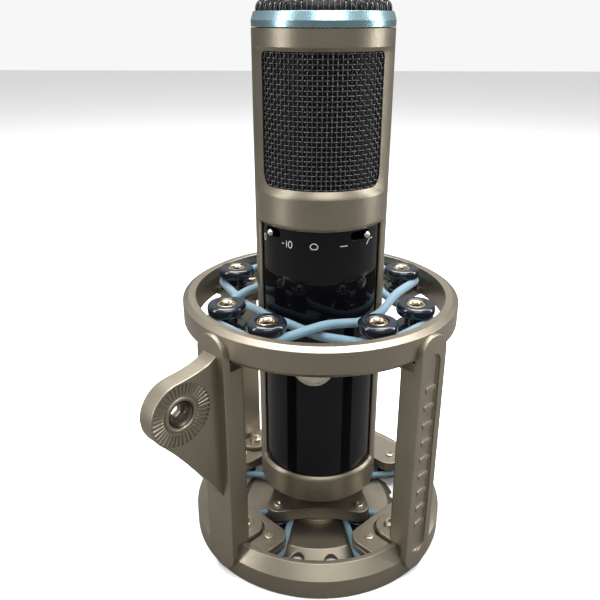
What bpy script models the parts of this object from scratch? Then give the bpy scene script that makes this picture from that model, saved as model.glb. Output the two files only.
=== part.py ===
"""Side-address condenser microphone standing in a round elastic shock mount.

Standalone Blender 4.5 script: run it with  blender --background --python part.py
Units are metres, +Z is up.  Heights are above the stand face.  An azimuth is an
angle about the microphone's own axis, 0 at the front (-Y) and positive to the
right (+X).  The world origin is the centre of the footprint's bounding box.
"""
import math

import bmesh
import bpy
import numpy as np
from mathutils import Vector

GAP = 0.0003                    # running gap kept between touching pieces

# ---------------------------------------------------------------- microphone
MIC_RADIUS = 0.0275
MIC_WALL = 0.0015
MIC_BOTTOM = 0.0241
MIC_TOP = 0.2263
EDGE_CHAMFER = 0.0008
BODY_WINDOW = (0.0379, 0.1533)  # heights of the black window's lower and upper edge
BODY_WINDOW_HALF = math.radians(68)
GRILLE_WINDOW = (0.1690, 0.2186)
GRILLE_WINDOW_HALF = math.radians(60.5)
BARREL_WALL = 0.0015
BARREL_BOTTOM = 0.0310
DECK_BOTTOM = 0.1580
DECK_THICKNESS = 0.0030
MESH_WALL = 0.0008
INNER_MESH_SPACE = 0.0010
TRIM_HEIGHT = 0.0054            # coloured trim ring on top
TRIM_STRAIGHT = 0.0023
TRIM_LIP = 0.0004
TRIM_INSET = 0.0010             # the lip's outer edge, in from the housing's side
DOME_RISE = 0.0080              # how far the domed grille stands above the trim ring
DOME_POWER = 2.6                # 2 would be half an ellipse; more fills out its shoulders
BADGE_RADIUS = 0.0094
BADGE_HEIGHT = 0.0943
BADGE_THICKNESS = 0.0006
BADGE_AZIMUTH = math.radians(-6)
SWITCH_HEIGHT = 0.1506
SWITCH_BALL = 0.0015
SWITCH_SLOT_HALF_HEIGHT = 0.0017
PAD_SLOT = (math.radians(-58.5), math.radians(-39.0))
PAD_REST = math.radians(-48.8)
LOW_CUT_SLOT = (math.radians(27.5), math.radians(48.5))
LOW_CUT_REST = math.radians(43.4)
CAPSULE_RADIUS = 0.0175
CAPSULE_DEPTH = 0.0110
CAPSULE_HEIGHT = 0.1950
DIAPHRAGM_RADIUS = 0.0158
DIAPHRAGM_THICKNESS = 0.0006
SADDLE_HALF_WIDTH = 0.0085
BOARD_THICKNESS = 0.0016
BOARD_LENGTH = 0.1080
BOARD_EDGE_SPACE = 0.0045       # from the board's edges to the barrel
BOARD_BOTTOM = 0.0420
BOARD_Y = 0.0040
TRANSFORMER_SIZE = (0.0220, 0.0160, 0.0240)
TRANSFORMER_BOTTOM = 0.0520
NECK_RADIUS = 0.0145            # threaded neck below the microphone
NECK_BOTTOM = 0.0004
COLLAR_RADIUS = NECK_RADIUS + 0.0025
FLANGE_RECESS = 0.0005          # the end flange sits this far up inside the housing
SOCKET_RADIUS = 0.0086
SOCKET_TOP = 0.0220
INSERT_THICKNESS = 0.0044
PIN_RADIUS = 0.0012
PIN_CIRCLE = 0.00405
PIN_TIP = 0.0055

# --------------------------------------------------------------- shock mount
MOUNT_CLOCK = math.radians(1.5)  # the mount is turned a little on the microphone
POST_AZIMUTHS = {"front_left": -45, "front_right": 45, "back_left": -135}
LOBE_AZIMUTHS = {**POST_AZIMUTHS, "back_right": 135}
RING_RADIUS = 0.0600
UPPER_RING_TOP = 0.1199
UPPER_RING_BOTTOM = UPPER_RING_TOP - 0.0104
UPPER_RING_BORE = RING_RADIUS - 0.0057
UPPER_RING_FLAT = RING_RADIUS - 0.0025  # outer edge of the flat rim, where its chamfer starts
UPPER_RING_CHAMFER = 0.0015
LOWER_RING_WALL_TOP = 0.00935
LOWER_RING_TOP = 0.0150
LOWER_RING_FLAT = RING_RADIUS - 0.0045
LOWER_RING_BORE = RING_RADIUS - 0.0068
LOBE_INNER = 0.0355
LOBE_HALF_WIDTH = 0.0180
LOBE_CORNER = 0.0060
LOBE_STEP = 0.0002              # the lobes lie this far inside the rings' flat faces
BOBBIN_CEILING = 0.0099         # underside of the lower lobes and of the cradle plate
UPPER_LOBE_BOTTOM = UPPER_RING_TOP - 0.0129
UPPER_LOBE_THICKNESS = 0.0036

POST_HALF_WIDTH = 0.00835
POST_OUTER = RING_RADIUS + 0.0018  # outer face of the post's pad
PAD_THICKNESS = 0.0032
PAD_BOTTOM = 0.0025
PAD_TOP = UPPER_RING_TOP - 0.0019
BAR_HALF_WIDTH = POST_HALF_WIDTH - 0.00095
BAR_INNER = POST_OUTER - 0.0108
TONGUE_TIP = 0.0396
TONGUE_THICKNESS = 0.0045
POCKET_FLOOR = 0.0120           # floor of the tongue's pocket in the lower lobe
POCKET_GAP = 0.0008
CHANNEL_HALF_WIDTH = 0.0045
CHANNEL_DEPTH = 0.0012
CHANNEL_BOTTOM = 0.0115
CHANNEL_TOP = PAD_TOP - 0.0085
FOOT_SCREW_PLACE = 0.0465
FOOT_SCREW_HEAD = (0.0032, 0.0018)
FOOT_SCREW_SHANK = 0.0016

LUG_THICKNESS = 0.0080
LUG_PLACE = POST_OUTER + 0.0171
LUG_HEIGHT = 0.0912
LUG_END_RADIUS = 0.0138
LUG_TOP = 0.1120                # where the lug runs into its post, above and below
LUG_BOTTOM = 0.0400
ROSETTE_RADIUS = 0.0131
ROSETTE_DEPTH = 0.0008
LUG_BORE = 0.0055
LUG_INSERT_BORE = 0.0028

# -------------------------------------------------------------- elastic bands
UPPER_CORD_RADIUS = 0.0019
UPPER_CORE_RADIUS = 0.0042
UPPER_FLANGES = (0.0017, 0.0049)  # heights of the lower and the upper flange
UPPER_BOBBIN_PLACE = 0.0445
UPPER_BOBBIN_SPREAD = math.radians(16)
UPPER_BOBBIN_RADIUS = 0.0080
UPPER_BOBBIN_HEIGHT = sum(UPPER_FLANGES) + 2 * (UPPER_CORD_RADIUS + GAP)
CROSSING_LIFT = UPPER_CORD_RADIUS + 0.00035
CROSSING_HALF = math.radians(19)
LOWER_CORD_RADIUS = 0.0015
LOWER_CORD_PLAY = 0.0002        # between the cord and each flange
LOWER_CORE_RADIUS = 0.0040
LOWER_FLANGE = 0.0008
LOWER_BOBBIN_PLACE = 0.0450
LOWER_BOBBIN_SPREAD = math.radians(15)
LOWER_BOBBIN_RADIUS = 0.0060
CORNER_BOBBIN_PLACE = NECK_RADIUS + 0.0065 + LOWER_BOBBIN_RADIUS  # clear of the clamp washer
LOWER_BOBBIN_HEIGHT = 2 * (LOWER_FLANGE + LOWER_CORD_RADIUS + LOWER_CORD_PLAY)

# ---------------------------------------------------------------- the cradle
CRADLE_TOP = 0.0160
CRADLE_CORNER = 0.0050
CRADLE_CORNER_SPAN = math.radians(62)
CRADLE_BOW = 2.6                # radius of a hollow side, as a multiple of the waist
CRADLE_HOLLOW_SPAN = math.radians(38)
CRADLE_WAIST = NECK_RADIUS + 0.0069  # distance from the axis to the middle of a hollow side
WASHER_RADIUS = NECK_RADIUS + 0.0040
WASHER_THICKNESS = 0.0034
NUT_BOTTOM = 0.0006
NUT_TOP_RADIUS = 0.0354
NUT_RADIUS = 0.0405
NUT_HUB_RADIUS = NECK_RADIUS + 0.0035
FLUTES = 16
FLUTE_RADIUS = 0.0032
FLUTE_PHASE = math.radians(-1.6 + 11.25)

TURN = 2 * math.pi


# ------------------------------------------------------------------- helpers
def direction(azimuth):
    """Unit vector of an azimuth in plan."""
    return Vector((math.sin(azimuth), -math.cos(azimuth), 0))


def mount_azimuth(degrees):
    return math.radians(degrees) + MOUNT_CLOCK


def finish(name, colour, roughness, metallic):
    material = bpy.data.materials.new(name)
    material.use_nodes = True
    shader = material.node_tree.nodes["Principled BSDF"]
    shader.inputs["Base Color"].default_value = (*colour, 1)
    shader.inputs["Roughness"].default_value = roughness
    shader.inputs["Metallic"].default_value = metallic
    return material


def add_object(name, data, parent, material=None):
    piece = bpy.data.objects.new(name, data)
    bpy.context.scene.collection.objects.link(piece)
    piece.parent = parent
    if material:
        data.materials.append(material)
    return piece


def add_mesh(name, bm, parent, material, smooth=False):
    bmesh.ops.recalc_face_normals(bm, faces=bm.faces)
    mesh = bpy.data.meshes.new(name)
    bm.to_mesh(mesh)
    bm.free()
    if smooth:
        mesh.shade_smooth()
        mesh.set_sharp_from_angle(angle=math.radians(35))
    return add_object(name, mesh, parent, material)


def turned(name, profile, parent, material, steps=48):
    """A solid turned about the parent's Z axis from a closed (radius, height) outline."""
    bm = bmesh.new()
    ring = [bm.verts.new((radius, 0, height)) for radius, height in profile]
    edges = [bm.edges.new((a, b)) for a, b in zip(ring, ring[1:] + ring[:1])]
    bmesh.ops.spin(bm, geom=ring + edges, cent=(0, 0, 0), axis=(0, 0, 1), angle=TURN, steps=steps)
    bmesh.ops.remove_doubles(bm, verts=bm.verts, dist=1e-6)
    bmesh.ops.dissolve_degenerate(bm, edges=bm.edges, dist=1e-7)
    loose = [edge for edge in bm.edges if not edge.link_faces]
    bmesh.ops.delete(bm, geom=loose, context="EDGES")
    return add_mesh(name, bm, parent, material, smooth=True)


def prism(name, outline, low, high, parent, material, along="Z"):
    """A flat outline carried from low to high along one of the parent's axes.

    The outline's two values are the other two axes in X, Y, Z order.
    """
    place = {
        "X": lambda a, b, depth: (depth, a, b),
        "Y": lambda a, b, depth: (a, depth, b),
        "Z": lambda a, b, depth: (a, b, depth),
    }[along]
    bm = bmesh.new()
    face = bm.faces.new([bm.verts.new(place(a, b, low)) for a, b in outline])
    top = bmesh.ops.extrude_face_region(bm, geom=[face])["geom"]
    moved = [item for item in top if isinstance(item, bmesh.types.BMVert)]
    bmesh.ops.translate(bm, verts=moved, vec=place(0, 0, high - low))
    return add_mesh(name, bm, parent, material)


def arc(centre, radius, start, end, steps):
    """Points on an arc; angles are in radians from the outline's first axis."""
    angles = np.linspace(start, end, steps + 1)
    return [(centre[0] + radius * math.cos(a), centre[1] + radius * math.sin(a)) for a in angles]


def box_outline(low_a, high_a, low_b, high_b):
    return [(low_a, low_b), (high_a, low_b), (high_a, high_b), (low_a, high_b)]


def boolean(target, tool, operation):
    modifier = target.modifiers.new(f"{operation.lower()} {tool.name}", "BOOLEAN")
    modifier.operation = operation
    modifier.object = tool
    modifier.solver = "EXACT"
    tool.hide_render = True
    tool.display_type = "WIRE"


def cut(target, tool):
    boolean(target, tool, "DIFFERENCE")


def join(target, tool):
    boolean(target, tool, "UNION")


def empty(name, parent=None, azimuth=None, location=(0, 0, 0)):
    """A frame to hang pieces on; with an azimuth, its +X points that way in plan."""
    frame = add_object(name, None, parent)
    frame.location = location
    if azimuth is not None:
        frame.rotation_euler.z = azimuth - math.pi / 2
    return frame


# ------------------------------------------------------------ bands and loops
def band_plan(circles, samples):
    """The outline in plan of an elastic loop stretched round circles.

    It is the convex hull of the circles: for each outward direction the loop
    touches the circle that reaches furthest that way.  Evenly spaced points.
    """
    centres = np.array([centre for centre, _ in circles])
    radii = np.array([radius for _, radius in circles])
    angles = np.linspace(0, TURN, 1440, endpoint=False)
    outward = np.stack([np.cos(angles), np.sin(angles)], axis=1)
    furthest = np.argmax(outward @ centres.T + radii, axis=1)
    touch = centres[furthest] + radii[furthest, None] * outward
    closed = np.vstack([touch, touch[:1]])
    length = np.concatenate([[0], np.cumsum(np.linalg.norm(np.diff(closed, axis=0), axis=1))])
    even = np.linspace(0, length[-1], samples, endpoint=False)
    return np.stack([np.interp(even, length, closed[:, k]) for k in (0, 1)], axis=1)


def band(name, points, radius, parent, material):
    """A closed elastic loop: a round cord along a closed line."""
    curve = bpy.data.curves.new(name, "CURVE")
    curve.dimensions = "3D"
    curve.bevel_depth = radius
    curve.bevel_resolution = 1
    spline = curve.splines.new("POLY")
    spline.points.add(len(points) - 1)
    for target, (x, y, z) in zip(spline.points, points):
        target.co = (x, y, z, 1)
    spline.use_cyclic_u = True
    return add_object(name, curve, parent, material)


def crossing_lift(x, y):
    """How far a strand rides up or down where two strands cross, midway between lobes."""
    azimuth = math.atan2(x, -y) - MOUNT_CLOCK
    off = (azimuth + math.pi / 4) % (math.pi / 2) - math.pi / 4
    if abs(off) > CROSSING_HALF:
        return 0
    return CROSSING_LIFT * (1 + math.cos(math.pi * off / CROSSING_HALF)) / 2


# --------------------------------------------------------------- microphone
def sector(half, inner, outer, middle=0.0, steps=12):
    """Plan outline of a ring sector, as wide as half each side of its middle azimuth."""
    start, end = middle - half - math.pi / 2, middle + half - math.pi / 2
    return arc((0, 0), outer, start, end, steps) + arc((0, 0), inner, end, start, steps)


def make_housing(axis, bronze):
    inner = MIC_RADIUS - MIC_WALL
    profile = [
        (MIC_RADIUS, MIC_TOP),
        (MIC_RADIUS, MIC_BOTTOM + EDGE_CHAMFER),
        (MIC_RADIUS - EDGE_CHAMFER, MIC_BOTTOM),
        (inner, MIC_BOTTOM),
        (inner, MIC_TOP),
    ]
    housing = turned("mic_housing", profile, axis, bronze, steps=64)
    windows = (("body", BODY_WINDOW, BODY_WINDOW_HALF), ("grille", GRILLE_WINDOW, GRILLE_WINDOW_HALF))
    for label, (low, high), half in windows:
        for side, middle in (("front", 0.0), ("back", math.pi)):
            outline = sector(half, inner - MIC_WALL, MIC_RADIUS + MIC_WALL, middle)
            cut(housing, prism(f"{label}_window_{side}", outline, low, high, axis, None))


def make_barrel(axis, black):
    outer = MIC_RADIUS - MIC_WALL - GAP
    inner = outer - BARREL_WALL
    top = DECK_BOTTOM - GAP
    profile = [(outer, top), (outer, BARREL_BOTTOM), (inner, BARREL_BOTTOM), (inner, top)]
    barrel = turned("barrel", profile, axis, black, steps=64)
    low = SWITCH_HEIGHT - SWITCH_SLOT_HALF_HEIGHT
    high = SWITCH_HEIGHT + SWITCH_SLOT_HALF_HEIGHT
    for label, (start, end) in (("pad", PAD_SLOT), ("low_cut", LOW_CUT_SLOT)):
        outline = sector((end - start) / 2, inner - GAP, outer + GAP, (start + end) / 2, steps=6)
        cut(barrel, prism(f"{label}_slot", outline, low, high, axis, None))


def make_switch(name, rest, axis, chrome):
    """A slide switch: a ball nub on a short stem, modelled on its own spoke."""
    spoke = empty(f"{name}_spoke", axis, rest)
    outer = MIC_RADIUS - MIC_WALL - GAP
    stem = 0.6 * SWITCH_BALL
    start, ball_centre = outer - BARREL_WALL + GAP, outer + SWITCH_BALL / 2
    profile = [(0.0, start), (stem, start)]
    join_angle = math.asin(stem / SWITCH_BALL)
    for angle in np.linspace(math.pi - join_angle, 0, 6):
        profile.append((SWITCH_BALL * math.sin(angle), ball_centre + SWITCH_BALL * math.cos(angle)))
    profile[-1] = (0.0, ball_centre + SWITCH_BALL)
    nub = turned(name, profile, spoke, chrome, steps=12)
    nub.location.z = SWITCH_HEIGHT
    nub.rotation_euler.y = math.pi / 2


def make_badge(axis, bronze):
    """A plain round badge bent round the barrel: rings of points on two radii."""
    floor = MIC_RADIUS - MIC_WALL
    bm = bmesh.new()
    steps, rings = 20, 3
    layers = []
    for radius in (floor, floor + BADGE_THICKNESS):
        def on_barrel(across, up):
            side = direction(BADGE_AZIMUTH + across / radius) * radius
            return bm.verts.new((side.x, side.y, BADGE_HEIGHT + up))
        centre = on_barrel(0, 0)
        circles = []
        for k in range(1, rings + 1):
            size = BADGE_RADIUS * k / rings
            angles = [TURN * i / steps for i in range(steps)]
            circles.append([on_barrel(size * math.cos(a), size * math.sin(a)) for a in angles])
        for i in range(steps):
            j = (i + 1) % steps
            bm.faces.new((centre, circles[0][i], circles[0][j]))
            for small, large in zip(circles, circles[1:]):
                bm.faces.new((small[i], large[i], large[j], small[j]))
        layers.append(circles[-1])
    for i in range(steps):
        j = (i + 1) % steps
        bm.faces.new((layers[0][i], layers[1][i], layers[1][j], layers[0][j]))
    add_mesh("badge", bm, axis, bronze)


def make_top(axis, blue, mesh_black):
    start = MIC_TOP + GAP
    top = start + TRIM_HEIGHT
    lip_outer = MIC_RADIUS - TRIM_INSET
    lip_inner = lip_outer - TRIM_LIP
    profile = [
        (lip_outer, top),
        (MIC_RADIUS, start + TRIM_STRAIGHT),
        (MIC_RADIUS, start),
        (lip_inner, start),
        (lip_inner, top),
    ]
    turned("trim_ring", profile, axis, blue, steps=64)
    radius = lip_inner - GAP
    rise = DOME_RISE
    power = 2 / DOME_POWER
    outer = [(radius * math.cos(a) ** power, top + rise * math.sin(a) ** power)
             for a in np.linspace(math.pi / 2, 0, 9)]
    shrink = (radius - MESH_WALL) / radius
    inner = [(r * shrink, top + (z - top) * (1 - MESH_WALL / rise)) for r, z in reversed(outer)]
    outer[0], inner[-1] = (0.0, outer[0][1]), (0.0, inner[-1][1])
    profile = outer + [(radius, start), (radius - MESH_WALL, start)] + inner
    turned("top_grille", profile, axis, mesh_black, steps=32)


def make_side_mesh(axis, mesh_black):
    low, high = DECK_BOTTOM + DECK_THICKNESS + GAP, MIC_TOP - GAP
    outer = MIC_RADIUS - MIC_WALL - GAP
    for name, size in (("side_grille", outer), ("inner_mesh", outer - MESH_WALL - INNER_MESH_SPACE)):
        inner = size - MESH_WALL
        turned(name, [(size, high), (size, low), (inner, low), (inner, high)], axis, mesh_black, steps=48)


def make_capsule(axis, brass, gold, dark):
    deck_top = DECK_BOTTOM + DECK_THICKNESS
    deck_radius = MIC_RADIUS - MIC_WALL - GAP
    profile = [(0.0, deck_top), (deck_radius, deck_top), (deck_radius, DECK_BOTTOM), (0.0, DECK_BOTTOM)]
    turned("capsule_deck", profile, axis, dark, steps=32)
    centre = empty("capsule_centre", axis, location=(0, 0, CAPSULE_HEIGHT))
    centre.rotation_euler.x = math.pi / 2

    def disc(name, radius, low, high, material, steps):
        turned(name, [(0.0, high), (radius, high), (radius, low), (0.0, low)], centre, material, steps)

    half = CAPSULE_DEPTH / 2
    near, far = half + GAP, half + GAP + DIAPHRAGM_THICKNESS
    disc("capsule_body", CAPSULE_RADIUS, -half, half, brass, 32)
    disc("front_diaphragm", DIAPHRAGM_RADIUS, near, far, gold, 24)
    disc("rear_diaphragm", DIAPHRAGM_RADIUS, -far, -near, gold, 24)
    cradle = arc((0, CAPSULE_HEIGHT), CAPSULE_RADIUS + GAP, math.radians(-120), math.radians(-60), 8)
    outline = [(SADDLE_HALF_WIDTH, deck_top + GAP), (SADDLE_HALF_WIDTH, cradle[-1][1])]
    outline += list(reversed([point for point in cradle if abs(point[0]) < SADDLE_HALF_WIDTH]))
    outline += [(-SADDLE_HALF_WIDTH, cradle[0][1]), (-SADDLE_HALF_WIDTH, deck_top + GAP)]
    prism("capsule_saddle", outline, -0.8 * half, 0.8 * half, axis, dark, along="Y")


def make_electronics(axis, board_green, dark):
    bore = MIC_RADIUS - MIC_WALL - GAP - BARREL_WALL
    half = math.sqrt(bore ** 2 - (BOARD_Y + BOARD_THICKNESS) ** 2) - BOARD_EDGE_SPACE
    outline = box_outline(-half, half, BOARD_Y, BOARD_Y + BOARD_THICKNESS)
    prism("circuit_board", outline, BOARD_BOTTOM, BOARD_BOTTOM + BOARD_LENGTH, axis, board_green)
    width, depth, height = TRANSFORMER_SIZE
    back = BOARD_Y - GAP
    outline = box_outline(-width / 2, width / 2, back - depth, back)
    prism("output_transformer", outline, TRANSFORMER_BOTTOM, TRANSFORMER_BOTTOM + height, axis, dark)


def make_base(axis, bronze, black, gold):
    flange = MIC_RADIUS - MIC_WALL - GAP
    flange_bottom = MIC_BOTTOM + FLANGE_RECESS
    flange_top = BARREL_BOTTOM - GAP
    shoulder = CRADLE_TOP + GAP
    profile = [
        (0.0, flange_top),
        (flange, flange_top),
        (flange, flange_bottom),
        (COLLAR_RADIUS, flange_bottom),
        (COLLAR_RADIUS, shoulder),
        (NECK_RADIUS, shoulder),
        (NECK_RADIUS, NECK_BOTTOM),
        (SOCKET_RADIUS, NECK_BOTTOM),
        (SOCKET_RADIUS, SOCKET_TOP),
        (0.0, SOCKET_TOP),
    ]
    turned("threaded_base", profile, axis, bronze, steps=32)
    high = SOCKET_TOP - GAP
    low = high - INSERT_THICKNESS
    radius = SOCKET_RADIUS - GAP
    profile = [(0.0, high), (radius, high), (radius, low), (0.0, low)]
    turned("connector_insert", profile, axis, black, steps=24)
    for number in range(3):
        side = direction(math.radians(120) * number) * PIN_CIRCLE
        spot = empty(f"pin_place_{number + 1}", axis, location=side)
        top = low - GAP
        shoulder = PIN_TIP + 0.6 * PIN_RADIUS
        profile = [(0.0, top), (PIN_RADIUS, top), (PIN_RADIUS, shoulder)]
        profile += [(0.5 * PIN_RADIUS, PIN_TIP), (0.0, PIN_TIP)]
        turned(f"connector_pin_{number + 1}", profile, spot, gold, steps=10)


# --------------------------------------------------------------- shock mount
def lobe_outline():
    """Plan outline of a lobe in a spoke frame: square outside, two round inner corners."""
    far = (LOWER_RING_BORE + LOWER_RING_FLAT) / 2
    half, near, corner = LOBE_HALF_WIDTH, LOBE_INNER, LOBE_CORNER
    reach = math.sqrt(far ** 2 - half ** 2)
    right = arc((near + corner, half - corner), corner, math.pi / 2, math.pi, 4)
    left = arc((near + corner, corner - half), corner, math.pi, 1.5 * math.pi, 4)
    edge = math.atan2(half, reach)
    return right + left + arc((0, 0), far, -edge, edge, 6)


def stadium(half_width, low, high, steps):
    """Upright outline with round ends: across, height."""
    bottom = arc((0, low + half_width), half_width, math.pi, TURN, steps)
    top = arc((0, high - half_width), half_width, 0, math.pi, steps)
    return bottom + top


def tongue_outline(grow=0.0, reach=None):
    """Plan outline of a post's foot tongue in its spoke frame, with a round inner end."""
    half = BAR_HALF_WIDTH
    far = POST_OUTER - PAD_THICKNESS if reach is None else reach
    end = arc((TONGUE_TIP + half, 0), half + grow, math.pi / 2, 1.5 * math.pi, 8)
    return end + [(far, -half - grow), (far, half + grow)]


def make_rings(axis, spokes, bronze):
    lower = turned("lower_ring", [
        (RING_RADIUS, LOWER_RING_WALL_TOP),
        (RING_RADIUS, 0.0),
        (LOWER_RING_BORE, 0.0),
        (LOWER_RING_BORE, LOWER_RING_TOP),
        (LOWER_RING_FLAT, LOWER_RING_TOP),
    ], axis, bronze, steps=64)
    skirt_bottom = UPPER_LOBE_BOTTOM + LOBE_STEP
    skirt = UPPER_RING_BOTTOM - skirt_bottom
    upper = turned("upper_ring", [
        (RING_RADIUS, UPPER_RING_TOP - UPPER_RING_CHAMFER),
        (RING_RADIUS, UPPER_RING_BOTTOM),
        (RING_RADIUS - skirt, skirt_bottom),
        (UPPER_RING_BORE, skirt_bottom),
        (UPPER_RING_BORE, UPPER_RING_TOP),
        (UPPER_RING_FLAT, UPPER_RING_TOP),
    ], axis, bronze, steps=64)
    for label, spoke in spokes.items():
        outline = lobe_outline()
        low, high = BOBBIN_CEILING, LOWER_RING_TOP - LOBE_STEP
        join(lower, prism(f"lower_lobe_{label}", outline, low, high, spoke, None))
        high = UPPER_LOBE_BOTTOM + UPPER_LOBE_THICKNESS
        join(upper, prism(f"upper_lobe_{label}", outline, UPPER_LOBE_BOTTOM, high, spoke, None))
    for label in POST_AZIMUTHS:
        spoke = spokes[label]
        inside, outside = POST_OUTER - PAD_THICKNESS - GAP, POST_OUTER + GAP
        outline = stadium(POST_HALF_WIDTH + GAP, PAD_BOTTOM - GAP, PAD_TOP + GAP, 10)
        pad_room = prism(f"pad_room_{label}", outline, inside, outside, spoke, None, along="X")
        cut(lower, pad_room)
        cut(upper, pad_room)
        outline = tongue_outline(POCKET_GAP, POST_OUTER)
        cut(lower, prism(f"tongue_room_{label}", outline, POCKET_FLOOR, PAD_TOP / 2, spoke, None))
        cut(lower, screw_hole(f"lobe_screw_hole_{label}", spoke))


def screw_hole(name, spoke):
    outline = arc((FOOT_SCREW_PLACE, 0), FOOT_SCREW_SHANK + GAP, 0, TURN, 12)[:-1]
    return prism(name, outline, 0.0, UPPER_LOBE_BOTTOM / 2, spoke, None)


def lug_outline():
    """Side view of the stand lug: a round end that sweeps into the post above and below."""
    root = POST_OUTER - PAD_THICKNESS / 2
    centre = (LUG_PLACE, LUG_HEIGHT)
    round_end = arc(centre, LUG_END_RADIUS, math.radians(-44), math.radians(84), 10)

    def sweep(start, start_slope, end, end_slope, steps=6):
        """A cubic curve between two points with the given slopes."""
        along = np.linspace(0, 1, steps + 2)[1:-1, None]
        p0, p1 = np.array(start), np.array(end)
        m0, m1 = np.array(start_slope), np.array(end_slope)
        h1, h2 = 2 * along ** 3 - 3 * along ** 2 + 1, -2 * along ** 3 + 3 * along ** 2
        h3, h4 = along ** 3 - 2 * along ** 2 + along, along ** 3 - along ** 2
        return [tuple(point) for point in h1 * p0 + h2 * p1 + h3 * m0 + h4 * m1]

    top_end, bottom_end = (root, LUG_TOP), (root, LUG_BOTTOM)
    upper = sweep(round_end[-1], (-0.022, 0.002), top_end, (-0.008, 0.016))
    lower = sweep(bottom_end, (0.008, 0.022), round_end[0], (0.022, 0.022))
    return [bottom_end] + lower + round_end + upper + [top_end]


def make_posts(spokes, bronze, gold):
    face = POST_OUTER - PAD_THICKNESS
    foot_top = POCKET_FLOOR + GAP + TONGUE_THICKNESS
    head_top = UPPER_LOBE_BOTTOM - GAP
    bar_bottom = POCKET_FLOOR + GAP
    for label in POST_AZIMUTHS:
        spoke = spokes[label]
        outline = stadium(POST_HALF_WIDTH, PAD_BOTTOM, PAD_TOP, 10)
        post = prism(f"post_{label}", outline, face, POST_OUTER, spoke, bronze, along="X")
        into_pad = face + PAD_THICKNESS / 2
        outline = box_outline(BAR_INNER, into_pad, -BAR_HALF_WIDTH, BAR_HALF_WIDTH)
        join(post, prism(f"bar_{label}", outline, bar_bottom, head_top, spoke, None))
        outline = tongue_outline()
        join(post, prism(f"foot_{label}", outline, bar_bottom, foot_top, spoke, None))
        join(post, prism(f"head_{label}", outline, head_top - TONGUE_THICKNESS, head_top, spoke, None))
        cut(post, screw_hole(f"foot_screw_hole_{label}", spoke))
        screw_frame = empty(f"foot_screw_place_{label}", spoke, location=(FOOT_SCREW_PLACE, 0, 0))
        radius, height = FOOT_SCREW_HEAD
        seat, end = foot_top + GAP, POCKET_FLOOR - 0.0010
        profile = [
            (0.0, seat + height),
            (0.6 * radius, seat + height),
            (radius, seat + 0.5 * height),
            (radius, seat),
            (FOOT_SCREW_SHANK, seat),
            (FOOT_SCREW_SHANK, end),
            (0.0, end),
        ]
        turned(f"foot_screw_{label}", profile, screw_frame, gold, steps=14)
    add_channel(spokes["front_right"])
    add_lug(spokes["front_left"], gold)


def add_channel(spoke):
    outline = stadium(CHANNEL_HALF_WIDTH, CHANNEL_BOTTOM, CHANNEL_TOP, 6)
    low, high = POST_OUTER - CHANNEL_DEPTH, POST_OUTER + CHANNEL_DEPTH
    cut(bpy.data.objects["post_front_right"], prism("channel", outline, low, high, spoke, None, along="X"))


def add_lug(spoke, gold):
    post = bpy.data.objects["post_front_left"]
    half = LUG_THICKNESS / 2
    join(post, prism("lug", lug_outline(), -half, half, spoke, None, along="Y"))
    recess = arc((LUG_PLACE, LUG_HEIGHT), ROSETTE_RADIUS, 0, TURN, 32)[:-1]
    floor = half - ROSETTE_DEPTH
    cut(post, prism("rosette_recess", recess, floor, half + ROSETTE_DEPTH, spoke, None, along="Y"))
    bore = arc((LUG_PLACE, LUG_HEIGHT), LUG_BORE, 0, TURN, 20)[:-1]
    cut(post, prism("lug_bore", bore, -2 * half, 2 * half, spoke, None, along="Y"))
    frame = empty("lug_axis", spoke, location=(LUG_PLACE, 0, LUG_HEIGHT))
    frame.rotation_euler.x = math.pi / 2
    radius = LUG_BORE - GAP
    profile = [(radius, half), (radius, -floor), (LUG_INSERT_BORE, -floor), (LUG_INSERT_BORE, half)]
    turned("stand_insert", profile, frame, gold, steps=20)


def bobbin(name, frame, height, radius, core, flanges, material, steps=12):
    """A spool standing on its frame's origin: a flange, a grooved core and a flange."""
    low, high = flanges
    ease = 0.25 * high
    profile = [
        (0.0, height),
        (radius - ease, height),
        (radius, height - ease),
        (radius, height - high),
        (core, height - high),
        (core, low),
        (radius - ease, low),
        (radius - ease, 0.0),
        (0.0, 0.0),
    ]
    return turned(name, profile, frame, material, steps=steps)


def make_upper_suspension(axis, rubber, cord):
    stand = UPPER_LOBE_BOTTOM + UPPER_LOBE_THICKNESS + GAP
    groove = stand + (UPPER_BOBBIN_HEIGHT + UPPER_FLANGES[0] - UPPER_FLANGES[1]) / 2
    wrap = UPPER_CORE_RADIUS + GAP + UPPER_CORD_RADIUS
    mic_circle = ((0.0, 0.0), MIC_RADIUS + GAP + UPPER_CORD_RADIUS)
    circles = {}
    for label, degrees in LOBE_AZIMUTHS.items():
        for side, sign in (("a", -1), ("b", 1)):
            azimuth = mount_azimuth(degrees) + sign * UPPER_BOBBIN_SPREAD
            spot = direction(azimuth) * UPPER_BOBBIN_PLACE
            frame = empty(f"upper_bobbin_place_{label}_{side}", axis, location=(spot.x, spot.y, stand))
            bobbin(f"upper_bobbin_{label}_{side}", frame, UPPER_BOBBIN_HEIGHT, UPPER_BOBBIN_RADIUS,
                   UPPER_CORE_RADIUS, UPPER_FLANGES, rubber)
            circles.setdefault(label, []).append(((spot.x, spot.y), wrap))
    loops = (("upper_band_over", ("front_left", "back_right"), 1),
             ("upper_band_under", ("front_right", "back_left"), -1))
    for name, (first, second), side in loops:
        plan = band_plan(circles[first] + circles[second] + [mic_circle], 72)
        points = [(x, y, groove + side * crossing_lift(x, y)) for x, y in plan]
        band(name, points, UPPER_CORD_RADIUS, axis, cord)


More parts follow.
